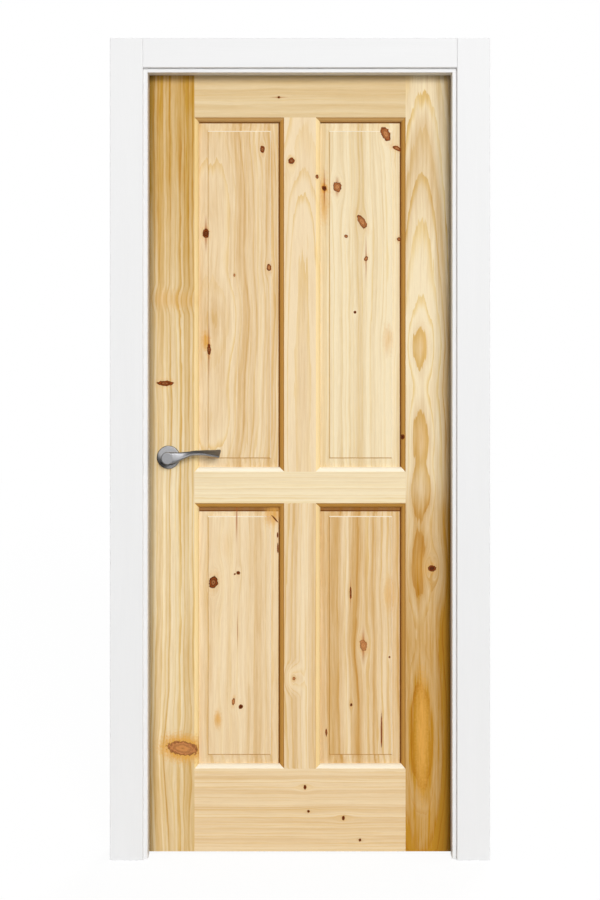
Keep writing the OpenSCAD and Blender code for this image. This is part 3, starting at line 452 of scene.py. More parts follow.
def pine(
    name,
    pith,
    ring,
    wander,
    drift,
    lying=False,
    knots=(),
    bow=(),
    late=0.5,
    fleck=1.0,
    pale=CREAM,
    deep=HONEY,
    ears=(),
    worn=(),
    corner=(),
):
    """Pine of one board.

    pith, ring and wander give where its growth rings are centred, how wide they are and how far they stray,
    and bow how the pith nears the face along the grain. drift gives how deep the colour is along the grain,
    from pale to deep. late gives how dark the late wood is and fleck how lively the colour. ears give the
    colours painted on the moulded edges, painted shade or painted highlight, worn where an edge is painted
    darker as a painted shadow beside the frame, and corner how wide the painted shadow is beside the
    mouldings at the top and right of a panel."""
    made, b, shader, place = new_material("pine_" + name)
    low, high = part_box(name)
    x, y, z = b.split(b.vector("SUBTRACT", place, (0.0, LEAF_MID_Y, 0.0)))
    place = b.join(z, y, x) if lying else b.join(x, y, z)
    along, start, end = (x, low.x / MM, high.x / MM) if lying else (z, low.z / MM, high.z / MM)
    length_share = b.node("ShaderNodeMapRange", along, start, end, 0.0, 1.0).outputs[0]

    def share_of(stops):
        ordered = sorted((max(0.0, min(1.0, (at - start) / (end - start))), value) for at, value in stops)
        return [(at, float(value)) for at, value in ordered]

    flow, stain = knots_of(b, place, lying, knots)
    grain = b.node("ShaderNodeGroup", node_tree=PINE_GRAIN)
    settings = {"Place": place, "Flow": flow, "Pith": pith, "Ring Width": ring, "Wander": wander}
    if bow:
        reach = max(abs(value) for _, value in bow)
        arc = b.ramp(length_share, [(at, 0.5 + value / (2 * reach)) for at, value in share_of(bow)])
        settings["Bow"] = b.math("MULTIPLY_ADD", arc, 2 * reach, -reach)
    for label, value in settings.items():
        b.feed(grain.inputs[label], value)
    year, band, streak, fibre = (grain.outputs[label] for label in ("Late", "Band", "Streak", "Fibre"))

    depth_of_tone = b.ramp(length_share, share_of(drift), "EASE")
    depth_of_tone = b.math("ADD", depth_of_tone, b.math("MULTIPLY_ADD", band, 1.4 * fleck, -0.65 * fleck))
    depth_of_tone = b.math("ADD", depth_of_tone, b.math("MULTIPLY_ADD", streak, fleck, -fleck / 2))
    depth_of_tone = b.node("ShaderNodeClamp", depth_of_tone).outputs[0]
    colour = b.blend(depth_of_tone, pale, deep)
    darker = b.math("MULTIPLY", year, late)
    darker = b.join(*(b.math("POWER", channel, darker) for channel in LATE_WOOD))
    colour = b.blend(1.0, colour, darker, "MULTIPLY")
    across = b.split(place)[0]
    colour = moulded_edges(b, colour, across, ears)
    if corner:
        colour = panel_lines(b, colour, x, z, (low, high), corner)
    if knots:
        colour = knot_stain(b, colour, place, flow, stain)
    shade = b.math("MULTIPLY_ADD", fibre, 0.22, 0.89)
    # Painted shadow along a stile's edge beside the frame
    for near, far, share in worn:
        shade = b.math("MULTIPLY", shade, b.step(across, near, far, share, 1.0))
    b.feed(shader.inputs["Base Color"], b.shaded(colour, shade))
    b.feed(shader.inputs["Roughness"], b.math("MULTIPLY_ADD", fibre, 0.16, 0.5))
    height = b.math("MULTIPLY_ADD", year, 0.5, b.math("MULTIPLY", fibre, 0.5))
    b.bump(shader, height, 0.12, 0.5)
    shader.inputs["Specular IOR Level"].default_value = 0.08
    return made


# Boards of the leaf, with the lines where their moulded edges start. Their ears carry painted shade or
# painted highlight, worn a painted shadow along a stile's edge beside the frame, and corner a painted shadow
# beside a panel's top and right mouldings

STILE_EDGE = 274.5
MUNTIN_EDGE = 41.5
TOP_RAIL_EDGE = 1913.0
LOCK_RAIL_LOW = 910.0
LOCK_RAIL_HIGH = 992.0
BOTTOM_RAIL_EDGE = 220.0
# Muntin edges: painted shade on the left moulding, painted highlight on the right
MUNTIN_EARS = ((-MUNTIN_EDGE, -1, 1.0, PAINTED_MOULDING_SHADE), (MUNTIN_EDGE, 1, 0.7, SUNLIT))

BOARDS = {}


def board(name, **wood):
    BOARDS[name] = pine(name, **wood)


board(
    "lock_stile",
    pith=(-640.0, 90.0, 3.1),
    ring=11.0,
    wander=14.0,
    drift=[
        (5, 0.42), (180, 0.46), (420, 0.28), (900, 0.2), (1250, 0.34), (1600, 0.55), (1800, 0.74),
        (2037, 0.8),
    ],
    late=1.5,
    ears=((-STILE_EDGE, 1, 0.7, SUNLIT),),
    # Painted shadow along the lock stile's edge beside the frame
    worn=((-392.0, -366.0, 0.48),),
    knots=[
        knot(-350.5, 1221.6, 20.8, 6.5, 1.0, 0.35, 0, 0.15),
        knot(-304.7, 272.6, 40.3, 18.0, 0.55, 1.7, 7, 0.3, 0.0, 4.0),
        knot(-335.0, 1440.0, 60.0, 13.0, 0.0, 0.35, 4, 0.0, 0.0, 9.0),
    ],
)
board(
    "hinge_stile",
    pith=(315.0, 62.0, 5.7),
    ring=12.0,
    wander=8.5,
    bow=[
        (5, 20), (120, 38), (310, 76), (500, 38), (620, 37), (745, 61), (860, 38), (940, 64),
        (1010, 42), (1078, 61), (1180, 38), (1240, 41), (1322, 60), (1404, 40), (1520, 32), (1700, 18),
        (1900, 0), (2037, -14),
    ],
    drift=[
        (5, 0.97), (300, 0.92), (500, 0.85), (720, 0.74), (880, 0.6), (1000, 0.3), (1350, 0.1),
        (2037, 0.07),
    ],
    late=1.25,
    deep=DEEP_HONEY,
    ears=((STILE_EDGE, -1, 1.0, PAINTED_MOULDING_SHADE),),
    # Painted shadow along the hinge stile's edge beside the frame
    worn=((392.0, 335.0, 0.6),),
    knots=[
        knot(266.8, 1082.2, 5.2, 6.5, 1.3, 0.3),
        knot(343.2, 740.6, 10.4, 7.8, 1.3, 0.6, 0, 1.6, 0.0, 6.0),
        knot(318.0, 745.0, 12.0, 20.0, 0.0, 0.3, 0, 0.0, 0.0, 3.0),
        knot(317.0, 310.0, 11.0, 80.0, 0.0, 1.1, 0, 0.0, 0.0, 6.0),
        knot(319.0, 1324.5, 12.0, 26.0, 0.0, 0.3, 0, 0.0, 0.0, 4.5),
        knot(317.2, 1077.0, 11.0, 28.0, 0.0, 0.3, 0, 0.0, 0.0, 4.5),
    ],
)
board(
    "top_rail",
    lying=True,
    pith=(2240.0, 60.0, 9.4),
    ring=11.0,
    wander=12.0,
    drift=[(-274, 0.34), (274, 0.37)],
    late=0.15,
    fleck=0.45,
    ears=((TOP_RAIL_EDGE, -1, 0.78, PAINTED_MOULDING_SHADE),),
    knots=[
        knot(-55.1, 1965.4, 3.6, 3.0, 1.2, 0.6, 0, 1.0, 30.0),
    ],
)
board(
    "lock_rail",
    lying=True,
    pith=(700.0, 40.0, 12.9),
    ring=9.0,
    wander=7.0,
    drift=[(-274, 0.02), (274, 0.02)],
    late=0.35,
    fleck=0.5,
    ears=((LOCK_RAIL_LOW, -1, 1.0, PAINTED_MOULDING_SHADE), (LOCK_RAIL_HIGH, 1, 0.8, PAINTED_HIGHLIGHT)),
)
board(
    "bottom_rail",
    lying=True,
    pith=(-160.0, 30.0, 2.2),
    ring=9.0,
    wander=6.0,
    drift=[(-274, 0.24), (274, 0.24)],
    late=0.48,
    fleck=0.65,
    pale=BUFF,
    deep=TAN,
    ears=((BOTTOM_RAIL_EDGE, 1, 0.8, PAINTED_HIGHLIGHT),),
    knots=[
        knot(13.0, 171.7, 3.6, 6.5, 1.2, 0.3),
        knot(22.1, 109.0, 3.4, 3.6, 1.2, 0.2),
        knot(112.6, 91.6, 3.6, 5.9, 1.2, 0.4),
        knot(155.7, 34.4, 3.6, 3.6, 1.2, 0.2),
    ],
)
board(
    "upper_muntin",
    pith=(10.0, 66.0, 21.3),
    ring=11.5,
    wander=9.0,
    bow=[(992, 47), (1250, 46), (1500, 43), (1680, 34), (1800, 18), (1913, 4)],
    drift=[(992, 0.05), (1250, 0.02), (1913, 0.1)],
    late=0.6,
    pale=BUFF,
    deep=TAN,
    ears=MUNTIN_EARS,
    knots=[
        knot(-22.4, 1800.3, 7.8, 7.8, 0.95, 0.5, 0, 1.2),
        knot(44.2, 1759.5, 3.9, 5.2, 0.9, 0.4),
    ],
)
board(
    "lower_muntin",
    pith=(-70.0, 58.0, 17.7),
    ring=8.0,
    wander=6.0,
    bow=[(220, 10), (454, 0), (910, 12)],
    drift=[(220, 0.34), (600, 0.26), (910, 0.3)],
    late=0.7,
    pale=BUFF,
    deep=TAN,
    ears=MUNTIN_EARS,
    knots=[
        knot(-15.6, 454.3, 3.6, 4.2, 0.7, 0.3, 0, 2.0, 0.0, 8.0),
        knot(-15.6, 454.3, 14.0, 16.0, 0.0, 0.1, 0, 0.0, 0.0, 26.0),
    ],
)
board(
    "upper_left_panel",
    pith=(-224.0, 76.0, 31.9),
    ring=9.5,
    wander=12.0,
    bow=[(992, -8), (1120, 22), (1230, 8), (1390, 36), (1520, 4), (1700, 18), (1913, -12)],
    drift=[(992, 0.2), (1400, 0.22), (1913, 0.3)],
    late=0.7,
    fleck=1.35,
    pale=BUFF,
    deep=TAN,
    corner=(2.4, 3.0),
    knots=[
        knot(-97.8, 1830.7, 6.0, 9.0, 0.95, 0.45),
        knot(-245.2, 1611.8, 8.5, 11.0, 1.15, 0.5, 0, 1.0, 60.0),
        knot(-80.6, 1522.9, 6.0, 9.0, 0.75, 0.5),
        knot(-170.8, 1502.9, 2.4, 4.0, 0.6, 0.3),
        knot(-236.9, 1309.2, 5.0, 13.5, 1.0, 0.6, 0, 1.0, 110.0),
        knot(-246.0, 1332.0, 7.0, 14.0, 0.0, 1.0, 0, 0.0),
    ],
)
board(
    "upper_right_panel",
    pith=(-70.0, 70.0, 44.2),
    ring=10.0,
    wander=12.0,
    drift=[(992, 0.1), (1400, 0.03), (1913, 0.14)],
    late=0.42,
    fleck=0.85,
    corner=(2.4, 3.0),
    knots=[
        knot(223.3, 1870.5, 11.0, 19.5, 0.72, 0.35, -24),
        knot(253.0, 1833.6, 13.0, 5.0, 0.85, 0.5, 24, 0.5),
        knot(63.4, 1729.6, 6.0, 6.0, 1.3, 0.9, 0, 1.0, 70.0),
        knot(64.0, 1700.0, 9.0, 34.0, 0.0, 0.7, 0, 0.0),
        knot(96.7, 1733.0, 11.0, 12.5, 0.68, 0.3, 0, 1.0, 34.0),
        knot(161.2, 1642.5, 8.5, 19.5, 0.7, 0.25, -32),
        knot(119.9, 1604.3, 4.6, 4.2, 0.8, 0.15, 40),
        knot(171.9, 1546.3, 4.6, 7.2, 0.75, 0.4, 20, 1.0, 80.0),
        knot(258.0, 1597.0, 6.0, 5.0, 0.85, 0.5, 30, 0.5),
        knot(143.0, 1406.7, 3.5, 3.6, 1.5, 0.1),
        knot(228.8, 1334.4, 9.0, 20.0, 0.0, 0.5, 0, 0.5, 0.0, 3.0),
    ],
)
board(
    "lower_left_panel",
    pith=(-260.0, 72.0, 52.6),
    ring=14.0,
    wander=14.0,
    drift=[(220, 0.3), (600, 0.23), (910, 0.19)],
    late=0.6,
    fleck=1.2,
    pale=BUFF,
    deep=TAN,
    corner=(10.5, 3.0),
    knots=[
        knot(-70.0, 878.0, 16.0, 14.0, 0.0, 0.9, 30, 0.2),
        knot(-66.0, 869.0, 1.8, 13.0, 1.2, 0.2, -42, 0.0),
        knot(-58.5, 826.0, 1.8, 6.0, 1.2, 0.2, 0, 0.0),
        knot(-58.0, 792.0, 1.7, 13.0, 1.0, 0.3, 0, 0.0),
        knot(-164.8, 868.0, 6.0, 26.0, 0.0, 0.0, 0, 0.0, 80.0),
        knot(-225.4, 703.1, 11.5, 16.0, 0.95, 0.4, 12, 1.2),
        knot(-160.7, 728.3, 5.0, 5.0, 1.2, 0.3),
        knot(-169.8, 725.0, 2.4, 2.4, 1.0, 0.2),
        knot(-162.5, 577.8, 3.2, 40.0, 0.0, 0.0, 0, 0.0, 66.0),
        knot(-153.9, 379.9, 5.4, 5.9, 1.4, 0.2),
        knot(-173.4, 392.7, 3.6, 9.1, 0.7, 0.6, 8),
        knot(-214.2, 345.9, 6.5, 12.0, 0.0, 0.9),
        knot(-195.0, 800.0, 10.0, 20.0, 0.0, 0.15, 0, 0.2, 0.0, 6.0),
    ],
)
board(
    "lower_right_panel",
    pith=(60.0, 62.0, 63.8),
    ring=11.0,
    wander=12.0,
    drift=[(220, 0.38), (600, 0.44), (910, 0.38)],
    late=0.9,
    fleck=1.25,
    pale=BUFF,
    deep=TAN,
    corner=(10.5, 3.0),
    knots=[
        knot(131.8, 676.1, 2.6, 15.0, 1.0, 0.5, 0, 2.0, 60.0),
        knot(164.8, 539.3, 9.0, 14.0, 0.55, 0.7, -12, 1.4, 60.0),
        knot(233.0, 508.9, 2.6, 2.6, 1.0, 0.2),
        knot(231.4, 672.4, 10.0, 24.0, 0.0, 0.5, 0, 0.6),
        knot(133.4, 384.9, 3.2, 4.2, 1.3, 0.4, 0, 1.4),
        knot(68.6, 311.6, 2.4, 9.5, 1.0, 0.2),
        knot(212.2, 318.0, 8.0, 26.0, 0.0, 0.0, 0, 0.0, 66.0),
        knot(212.2, 318.0, 1.5, 44.0, 1.0, 0.1, 0, 0.0),
    ],
)


# Other finishes, with the densities of their patterns per millimetre

LACQUER_BRUSH = (0.75, 0.75, 0.011)
LACQUER_CLOUD = (0.03, 0.03, 0.004)
METAL_CLOUD = (0.08, 0.08, 0.08)
SEAL_SKIN = (1.2, 1.2, 0.3)
DOWEL_FLECKS = (0.08, 0.9, 0.9)
ALONG_X = (0.12, 1.6, 1.6)
ALONG_Z = (1.4, 1.4, 0.12)
WHITE = tone(239, 239, 239)
NICKEL = tone(150, 150, 152)
ZINC = tone(188, 190, 192)
SEAL_DARK, SEAL_LIGHT = tone(206, 206, 204), tone(222, 222, 220)
BEECH_LIGHT, BEECH_DARK = tone(222, 186, 140), tone(196, 152, 104)
# Direction of the painted shadow and reflection of the lever's neck on a rose
PAINTED_NECK_SHADE = (-0.85 / ROSE_RADIUS, -0.53 / ROSE_RADIUS)


def lacquer(name, lying):
    """White lacquer over a lightly brushed grain."""
    made, b, shader, place = new_material("white_lacquer_" + name)
    x, y, z = b.split(place)
    place = b.join(z, y, x) if lying else place
    brushed = b.pattern(place, LACQUER_BRUSH, 4.0, 0.6)
    cloud = b.pattern(place, LACQUER_CLOUD)
    shade = b.math("MULTIPLY_ADD", brushed, 0.05, 0.975)
    shade = b.math("MULTIPLY", shade, b.math("MULTIPLY_ADD", cloud, 0.03, 0.985))
    b.feed(shader.inputs["Base Color"], b.shaded(WHITE, shade))
    b.feed(shader.inputs["Roughness"], b.math("MULTIPLY_ADD", brushed, 0.2, 0.36))
    b.bump(shader, brushed, 0.1, 0.4)
    shader.inputs["Specular IOR Level"].default_value = 0.4
    return made


def brushed_metal(name, colour, rough, spread, stroke, turned=False):
    """Metal with fine brush strokes of the density stroke.

    With turned, a rose round the spindle gets a painted shadow and reflection of the lever's neck, darker
    towards its lower left, and a painted highlight, a little lighter, elsewhere."""
    made, b, shader, place = new_material(name)
    strokes = b.pattern(place, stroke, 3.0, 0.6)
    cloud = b.pattern(place, METAL_CLOUD)
    shade = b.math("MULTIPLY_ADD", strokes, 0.16, 0.92)
    if turned:
        # Painted shadow and reflection of the lever's neck: darker to the lower left of the rose, a painted
        # highlight elsewhere
        x, _, z = b.split(b.vector("SUBTRACT", place, (SPINDLE_X, 0.0, SPINDLE_Z)))
        toward_painted_shade = b.math("MULTIPLY_ADD", x, PAINTED_NECK_SHADE[0], b.math("MULTIPLY", z, PAINTED_NECK_SHADE[1]))
        shade = b.math("MULTIPLY", shade, b.step(toward_painted_shade, 0.45, 0.9, 1.15, 0.3))
    b.feed(shader.inputs["Base Color"], b.shaded(colour, shade))
    worn = b.math("MULTIPLY_ADD", cloud, spread, rough - spread / 2)
    b.feed(shader.inputs["Roughness"], b.math("MULTIPLY_ADD", strokes, spread, worn))
    b.bump(shader, strokes, 0.06, 0.2)
    shader.inputs["Metallic"].default_value = 1.0
    return made


def seal_rubber():
    """Soft white seal with a dull skin."""
    made, b, shader, place = new_material("seal_rubber")
    skin = b.pattern(place, SEAL_SKIN, 3.0)
    b.feed(shader.inputs["Base Color"], b.blend(skin, SEAL_DARK, SEAL_LIGHT))
    b.feed(shader.inputs["Roughness"], b.math("MULTIPLY_ADD", skin, 0.15, 0.62))
    shader.inputs["Specular IOR Level"].default_value = 0.3
    return made


def beech():
    """Beech of the dowels, with short flecks along each peg."""
    made, b, shader, place = new_material("beech_dowel")
    flecks = b.pattern(place, DOWEL_FLECKS, 3.0)
    b.feed(shader.inputs["Base Color"], b.blend(flecks, BEECH_LIGHT, BEECH_DARK))
    b.feed(shader.inputs["Roughness"], b.math("MULTIPLY_ADD", flecks, 0.2, 0.5))
    return made


UPRIGHT_LACQUER = lacquer("upright", False)
LYING_LACQUER = lacquer("lying", True)
SATIN_NICKEL = brushed_metal("satin_nickel", NICKEL, 0.42, 0.1, ALONG_X)
# Rose finish with the painted shadow and reflection of the lever's neck
NICKEL_WITH_PAINTED_SHADE = brushed_metal("nickel_painted_shade", NICKEL, 0.42, 0.1, ALONG_X, turned=True)
LATCH_STEEL = brushed_metal("zinc_steel", ZINC, 0.38, 0.14, ALONG_Z)
FINISHES = {
    "satin_nickel": SATIN_NICKEL,
    "steel": LATCH_STEEL,
    "seal": seal_rubber(),
    "dowel": beech(),
}


def finish_of(name, slot):
    if slot == "pine":
        return BOARDS[name]
    if slot == "white_lacquer":
        return LYING_LACQUER if "head" in name else UPRIGHT_LACQUER
    if name.endswith("_rose"):
        return NICKEL_WITH_PAINTED_SHADE
    return FINISHES[slot]


SLOTS = {part["node"]: part["material_slot"] for part in frame["record"]["subparts"]}
for node_name, node in nodes.items():
    node.data.materials.clear()
    node.data.materials.append(finish_of(node_name, SLOTS[node_name]))


# Levers: hub and blade in one casting

# Shares along the blade: run, rise, width, thickness and twist
LEVER_STATIONS = (
    (0.0, 0.0, 1.0, 1.0, 0.0),
    (0.12, 0.1, 0.92, 0.99, 0.04),
    (0.257, 0.4, 0.68, 0.95, 0.16),
    (0.424, 0.9, 0.42, 0.83, 0.5),
    (0.52, 1.1, 0.4, 0.77, 0.66),
    (0.69, 1.16, 0.47, 0.66, 0.83),
    (0.85, 1.08, 0.67, 0.55, 0.93),
    (1.0, 0.98, 0.94, 0.45, 1.0),
)
LEVER_LENGTH = 136.0
LEVER_RISE = 12.0
LEVER_WIDTH = 31.0
LEVER_THICK = 11.0
LEVER_TWIST = math.radians(51.0)
LEVER_STAND = 47.0
TIP_LENGTH = 1.0
TIP_SLANT = 1.6
TIP_SLANT_POWER = 16
TIP_SHARE = 0.82
SECTION_SHARE = 0.45
NECK_RADIUS = 10.0
NECK_STAND = 1.0
HUB_RADIUS = 16.0
HUB_THICK = 12.0
HUB_EDGE = 1.5
HUB_EDGE_STEPS = 4
FLARE = 8.0
FLARE_STEPS = 6
FLARE_POWER = 1.6
STEPS_BETWEEN = 8
SECTION_POINTS = 64
SKIN_SIZE = 0.55
SOFT_FACTOR = 0.5
SOFT_PASSES = 6


def through(a, b, c, d, share):
    """A smooth curve through the middle two of four stations."""
    return tuple(
        q
        + (r - p) * share / 2
        + (2 * p - 5 * q + 4 * r - s) * share**2 / 2
        + (3 * q - p - 3 * r + s) * share**3 / 2
        for p, q, r, s in zip(a, b, c, d)
    )


def lever_rings():
    """Stations along the blade, with the size and the advance of the small bevel at its tip."""
    last = len(LEVER_STATIONS) - 1
    at = [LEVER_STATIONS[max(0, min(last, i))] for i in range(-1, last + 3)]
    for i in range(last):
        for k in range(STEPS_BETWEEN):
            yield through(*at[i : i + 4], k / STEPS_BETWEEN), 1.0, 0.0
    yield LEVER_STATIONS[last], 1.0, 0.0
    yield LEVER_STATIONS[last], TIP_SHARE, TIP_LENGTH


def softened(value):
    return math.copysign(abs(value) ** SECTION_SHARE, value)


def closed_skin(name, rings, inward=False):
    """A closed mesh through rings of points in millimetres. inward reverses the order of its corners."""
    mesh = bmesh.new()
    rings = [[mesh.verts.new(Vector(spot) * MM) for spot in ring] for ring in rings]
    for a, b in zip(rings, rings[1:]):
        for j in range(SECTION_POINTS):
            k = (j + 1) % SECTION_POINTS
            mesh.faces.new((a[j], b[j], b[k], a[k]) if inward else (a[j], a[k], b[k], b[j]))
    first, last = rings[0], rings[-1]
    mesh.faces.new(first if inward else list(reversed(first)))
    mesh.faces.new(list(reversed(last)) if inward else last)
    bmesh.ops.recalc_face_normals(mesh, faces=mesh.faces)
    skin = bpy.data.meshes.new(name)
    mesh.to_mesh(skin)
    mesh.free()
    return skin


ROUND = [2 * math.pi * j / SECTION_POINTS for j in range(SECTION_POINTS)]


def lever_blade(name):
    """The blade along x from the spindle, up along y and out of the leaf along z."""
    rings = []
    for (run, rise, width, thick, turn), size, ahead in lever_rings():
        ring = []
        angle = turn * LEVER_TWIST
        for a in ROUND:
            q = softened(math.cos(a)) * thick * LEVER_THICK * size / 2
            up = softened(math.sin(a))
            w = up * width * LEVER_WIDTH * size / 2
            slant = TIP_SLANT * up * max(run, 0.0) ** TIP_SLANT_POWER
            ring.append(
                (
                    run * LEVER_LENGTH - TIP_LENGTH + ahead + slant,
                    rise * LEVER_RISE + q * math.sin(angle) + w * math.cos(angle),
                    LEVER_STAND + q * math.cos(angle) - w * math.sin(angle),
                )
            )
        rings.append(ring)
    return closed_skin(name, rings, inward=True)


def lever_hub(name):
    """The neck and the flared hub round the spindle, in the same place as the blade."""
    back = LEVER_STAND - HUB_THICK / 2
    front = LEVER_STAND + HUB_THICK / 2
    outline = [(NECK_RADIUS, NECK_STAND), (NECK_RADIUS, back - FLARE)]
    for i in range(1, FLARE_STEPS + 1):
        share = i / FLARE_STEPS
        radius = NECK_RADIUS + (HUB_RADIUS - NECK_RADIUS) * share**FLARE_POWER
        outline.append((radius, back - FLARE * (1 - share)))
    for i in range(HUB_EDGE_STEPS + 1):
        a = math.pi / 2 * i / HUB_EDGE_STEPS
        inner = HUB_RADIUS - HUB_EDGE
        outline.append((inner + HUB_EDGE * math.cos(a), front - HUB_EDGE + HUB_EDGE * math.sin(a)))
    rings = []
    for radius, height in outline:
        rings.append([(radius * math.cos(a), radius * math.sin(a), height) for a in ROUND])
    return closed_skin(name, rings)


def settled(piece):
    """The piece with its modifiers worked into a plain mesh."""
    graph = bpy.context.evaluated_depsgraph_get()
    mesh = bpy.data.meshes.new_from_object(piece.evaluated_get(graph))
    piece.modifiers.clear()
    old = piece.data
    piece.data = mesh
    bpy.data.meshes.remove(old)
    return piece


def lever(name, node_name, face_y, side):
    """One casting of hub and blade, on the face of the leaf that looks to that side."""
    hub = lever_hub(name + "_hub")
    tool = bpy.data.objects.new(name + "_hub", hub)
    piece = bpy.data.objects.new(name, lever_blade(name + "_blade"))
    for made in (tool, piece):
        bpy.context.scene.collection.objects.link(made)
    weld = piece.modifiers.new("casting", "BOOLEAN")
    weld.operation = "UNION"
    weld.solver = "EXACT"
    weld.object = tool
    skin = piece.modifiers.new("skin", "REMESH")
    skin.mode = "VOXEL"
    skin.voxel_size = SKIN_SIZE * MM
    skin.use_smooth_shade = True
    soft = piece.modifiers.new("soft", "SMOOTH")
    soft.factor = SOFT_FACTOR
    soft.iterations = SOFT_PASSES
    bpy.context.view_layer.update()
    settled(piece)
    bpy.data.objects.remove(tool)
    bpy.data.meshes.remove(hub)
    turned = Matrix(
        (
            (1, 0, 0, SPINDLE_X * MM),
            (0, 0, side, face_y * MM),
            (0, 1, 0, SPINDLE_Z * MM),
            (0, 0, 0, 1),
        )
    )
    piece.data.transform(turned)
    if turned.to_3x3().determinant() < 0:
        piece.data.flip_normals()
    piece.data.materials.clear()
    piece.data.materials.append(SATIN_NICKEL)
    piece.data.shade_smooth()
    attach(piece, "lever_set")
    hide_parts(node_name)


lever("push_lever_handle", "push_lever", LEAF_PUSH_Y, -1)
lever("pull_lever_handle", "pull_lever", LEAF_PULL_Y, 1)


# Screws and the bolt spring, set out on points that carry the way they look

HEAD_CORNERS = 40
SHANK_CORNERS = 20
RECESS_LENGTH_SHARE = 1.15
RECESS_WIDTH_SHARE = 0.26
RECESS_ARMS = ((0.9, 0.0), (0.82, math.pi / 2))
POINT_SHARE = 2.4
THREADED_SHARE = 0.78
THREAD_STEPS = 16
THREAD_CORNERS = 3
SPRING_STEPS = 28
WIRE_CORNERS = 12
SAME_POINT = 0.001 * MM
WIDER_BY = 0.01 * MM
END_SHARE = 0.05


def wound_wire(b, radius, height, pitch, wire, steps, corners):
    """Wire with a section of so many corners, wound up along z with so many steps a turn."""
    path = b.node("GeometryNodeCurveSpiral")
    path.inputs["Resolution"].default_value = steps
    b.feed(path.inputs["Rotations"], b.math("DIVIDE", height, pitch))
    b.feed(path.inputs["Start Radius"], radius)
    b.feed(path.inputs["End Radius"], radius)
    b.feed(path.inputs["Height"], height)
    section = b.node("GeometryNodeCurvePrimitiveCircle")
    section.inputs["Resolution"].default_value = corners
    b.feed(section.inputs["Radius"], wire)
    made = b.node("GeometryNodeCurveToMesh")
    b.feed(made.inputs["Curve"], path.outputs[0])
    b.feed(made.inputs["Profile Curve"], section.outputs[0])
    made.inputs["Fill Caps"].default_value = True
    return made.outputs[0]


def set_out(b, take, give, shape):
    """Sets the shape on every place, turned the way it looks, as plain faces with their finish."""
    aim = b.node("GeometryNodeInputNamedAttribute", data_type="FLOAT_VECTOR")
    aim.inputs["Name"].default_value = "aim"
    turn = b.node("FunctionNodeAlignRotationToVector", axis="Z")
    b.feed(turn.inputs["Vector"], aim.outputs["Attribute"])
    each = b.node("GeometryNodeInstanceOnPoints")
    b.feed(each.inputs["Points"], take["Places"])
    b.feed(each.inputs["Instance"], shape)
    b.feed(each.inputs["Rotation"], turn.outputs[0])
    real = b.node("GeometryNodeRealizeInstances", each.outputs[0])
    coat = b.node("GeometryNodeSetMaterial")
    b.feed(coat.inputs["Geometry"], real.outputs[0])
    b.feed(coat.inputs["Material"], take["Finish"])
    b.feed(give["Pieces"], coat.outputs[0])


def screw_tree():
    """A countersunk head with a cross recess, a threaded shank and a point."""
    tree, b, take, give = new_group(
        "countersunk_screw",
        "GeometryNodeTree",
        [
            ("Places", "Geometry"),
            ("Head Radius", FLOAT),
            ("Head Height", FLOAT),
            ("Shank Radius", FLOAT),
            ("Length", FLOAT),
            ("Thread Height", FLOAT),
            ("Thread Pitch", FLOAT),
            ("Finish", "Material"),
        ],
        [("Pieces", "Geometry")],
    )

    def moved(mesh, height, turn=(0.0, 0.0, 0.0)):
        made = b.node("GeometryNodeTransform")
        b.feed(made.inputs["Geometry"], mesh)
        b.feed(made.inputs["Translation"], b.join(0.0, 0.0, height))
        made.inputs["Rotation"].default_value = turn
        return made.outputs[0]

    def cone(count, top, bottom, depth):
        made = b.node("GeometryNodeMeshCone")
        made.inputs["Vertices"].default_value = count
        b.feed(made.inputs["Radius Top"], top)
        b.feed(made.inputs["Radius Bottom"], bottom)
        b.feed(made.inputs["Depth"], depth)
        return made.outputs["Mesh"]

    down = b.math("MULTIPLY", take["Head Height"], -1.0)
    head = cone(HEAD_CORNERS, take["Head Radius"], take["Shank Radius"], take["Head Height"])
    arm_length = b.math("MULTIPLY", take["Head Radius"], RECESS_LENGTH_SHARE)
    arm_width = b.math("MULTIPLY", take["Head Radius"], RECESS_WIDTH_SHARE)
    cut = b.node("GeometryNodeMeshBoolean", operation="DIFFERENCE")
    b.feed(cut.inputs["Mesh 1"], moved(head, down))
    for depth_share, turn in RECESS_ARMS:
        arm = b.node("GeometryNodeMeshCube")
        arm_depth = b.math("MULTIPLY", take["Head Height"], depth_share)
        b.feed(arm.inputs["Size"], b.join(arm_length, arm_width, arm_depth))
        b.feed(cut.inputs["Mesh 2"], moved(arm.outputs["Mesh"], 0.0, (0.0, 0.0, turn)))
    point_length = b.math("MULTIPLY", take["Shank Radius"], POINT_SHARE)
    shank_length = b.math("SUBTRACT", b.math("SUBTRACT", take["Length"], take["Head Height"]), point_length)
    shank_start = b.math("SUBTRACT", point_length, take["Length"])
    core = b.math("SUBTRACT", take["Shank Radius"], take["Thread Height"])
    shank = moved(cone(SHANK_CORNERS, core, core, shank_length), shank_start)
    tip = moved(cone(SHANK_CORNERS, core, 0.0, point_length), b.math("MULTIPLY", take["Length"], -1.0))
    thread_length = b.math("MULTIPLY", shank_length, THREADED_SHARE)
    size = (core, thread_length, take["Thread Pitch"], take["Thread Height"])
    thread = moved(wound_wire(b, *size, THREAD_STEPS, THREAD_CORNERS), shank_start)
    whole = b.node("GeometryNodeJoinGeometry")
    for part in (cut.outputs["Mesh"], shank, tip, thread):
        b.feed(whole.inputs[0], part)
    set_out(b, take, give, whole.outputs[0])
    return tree


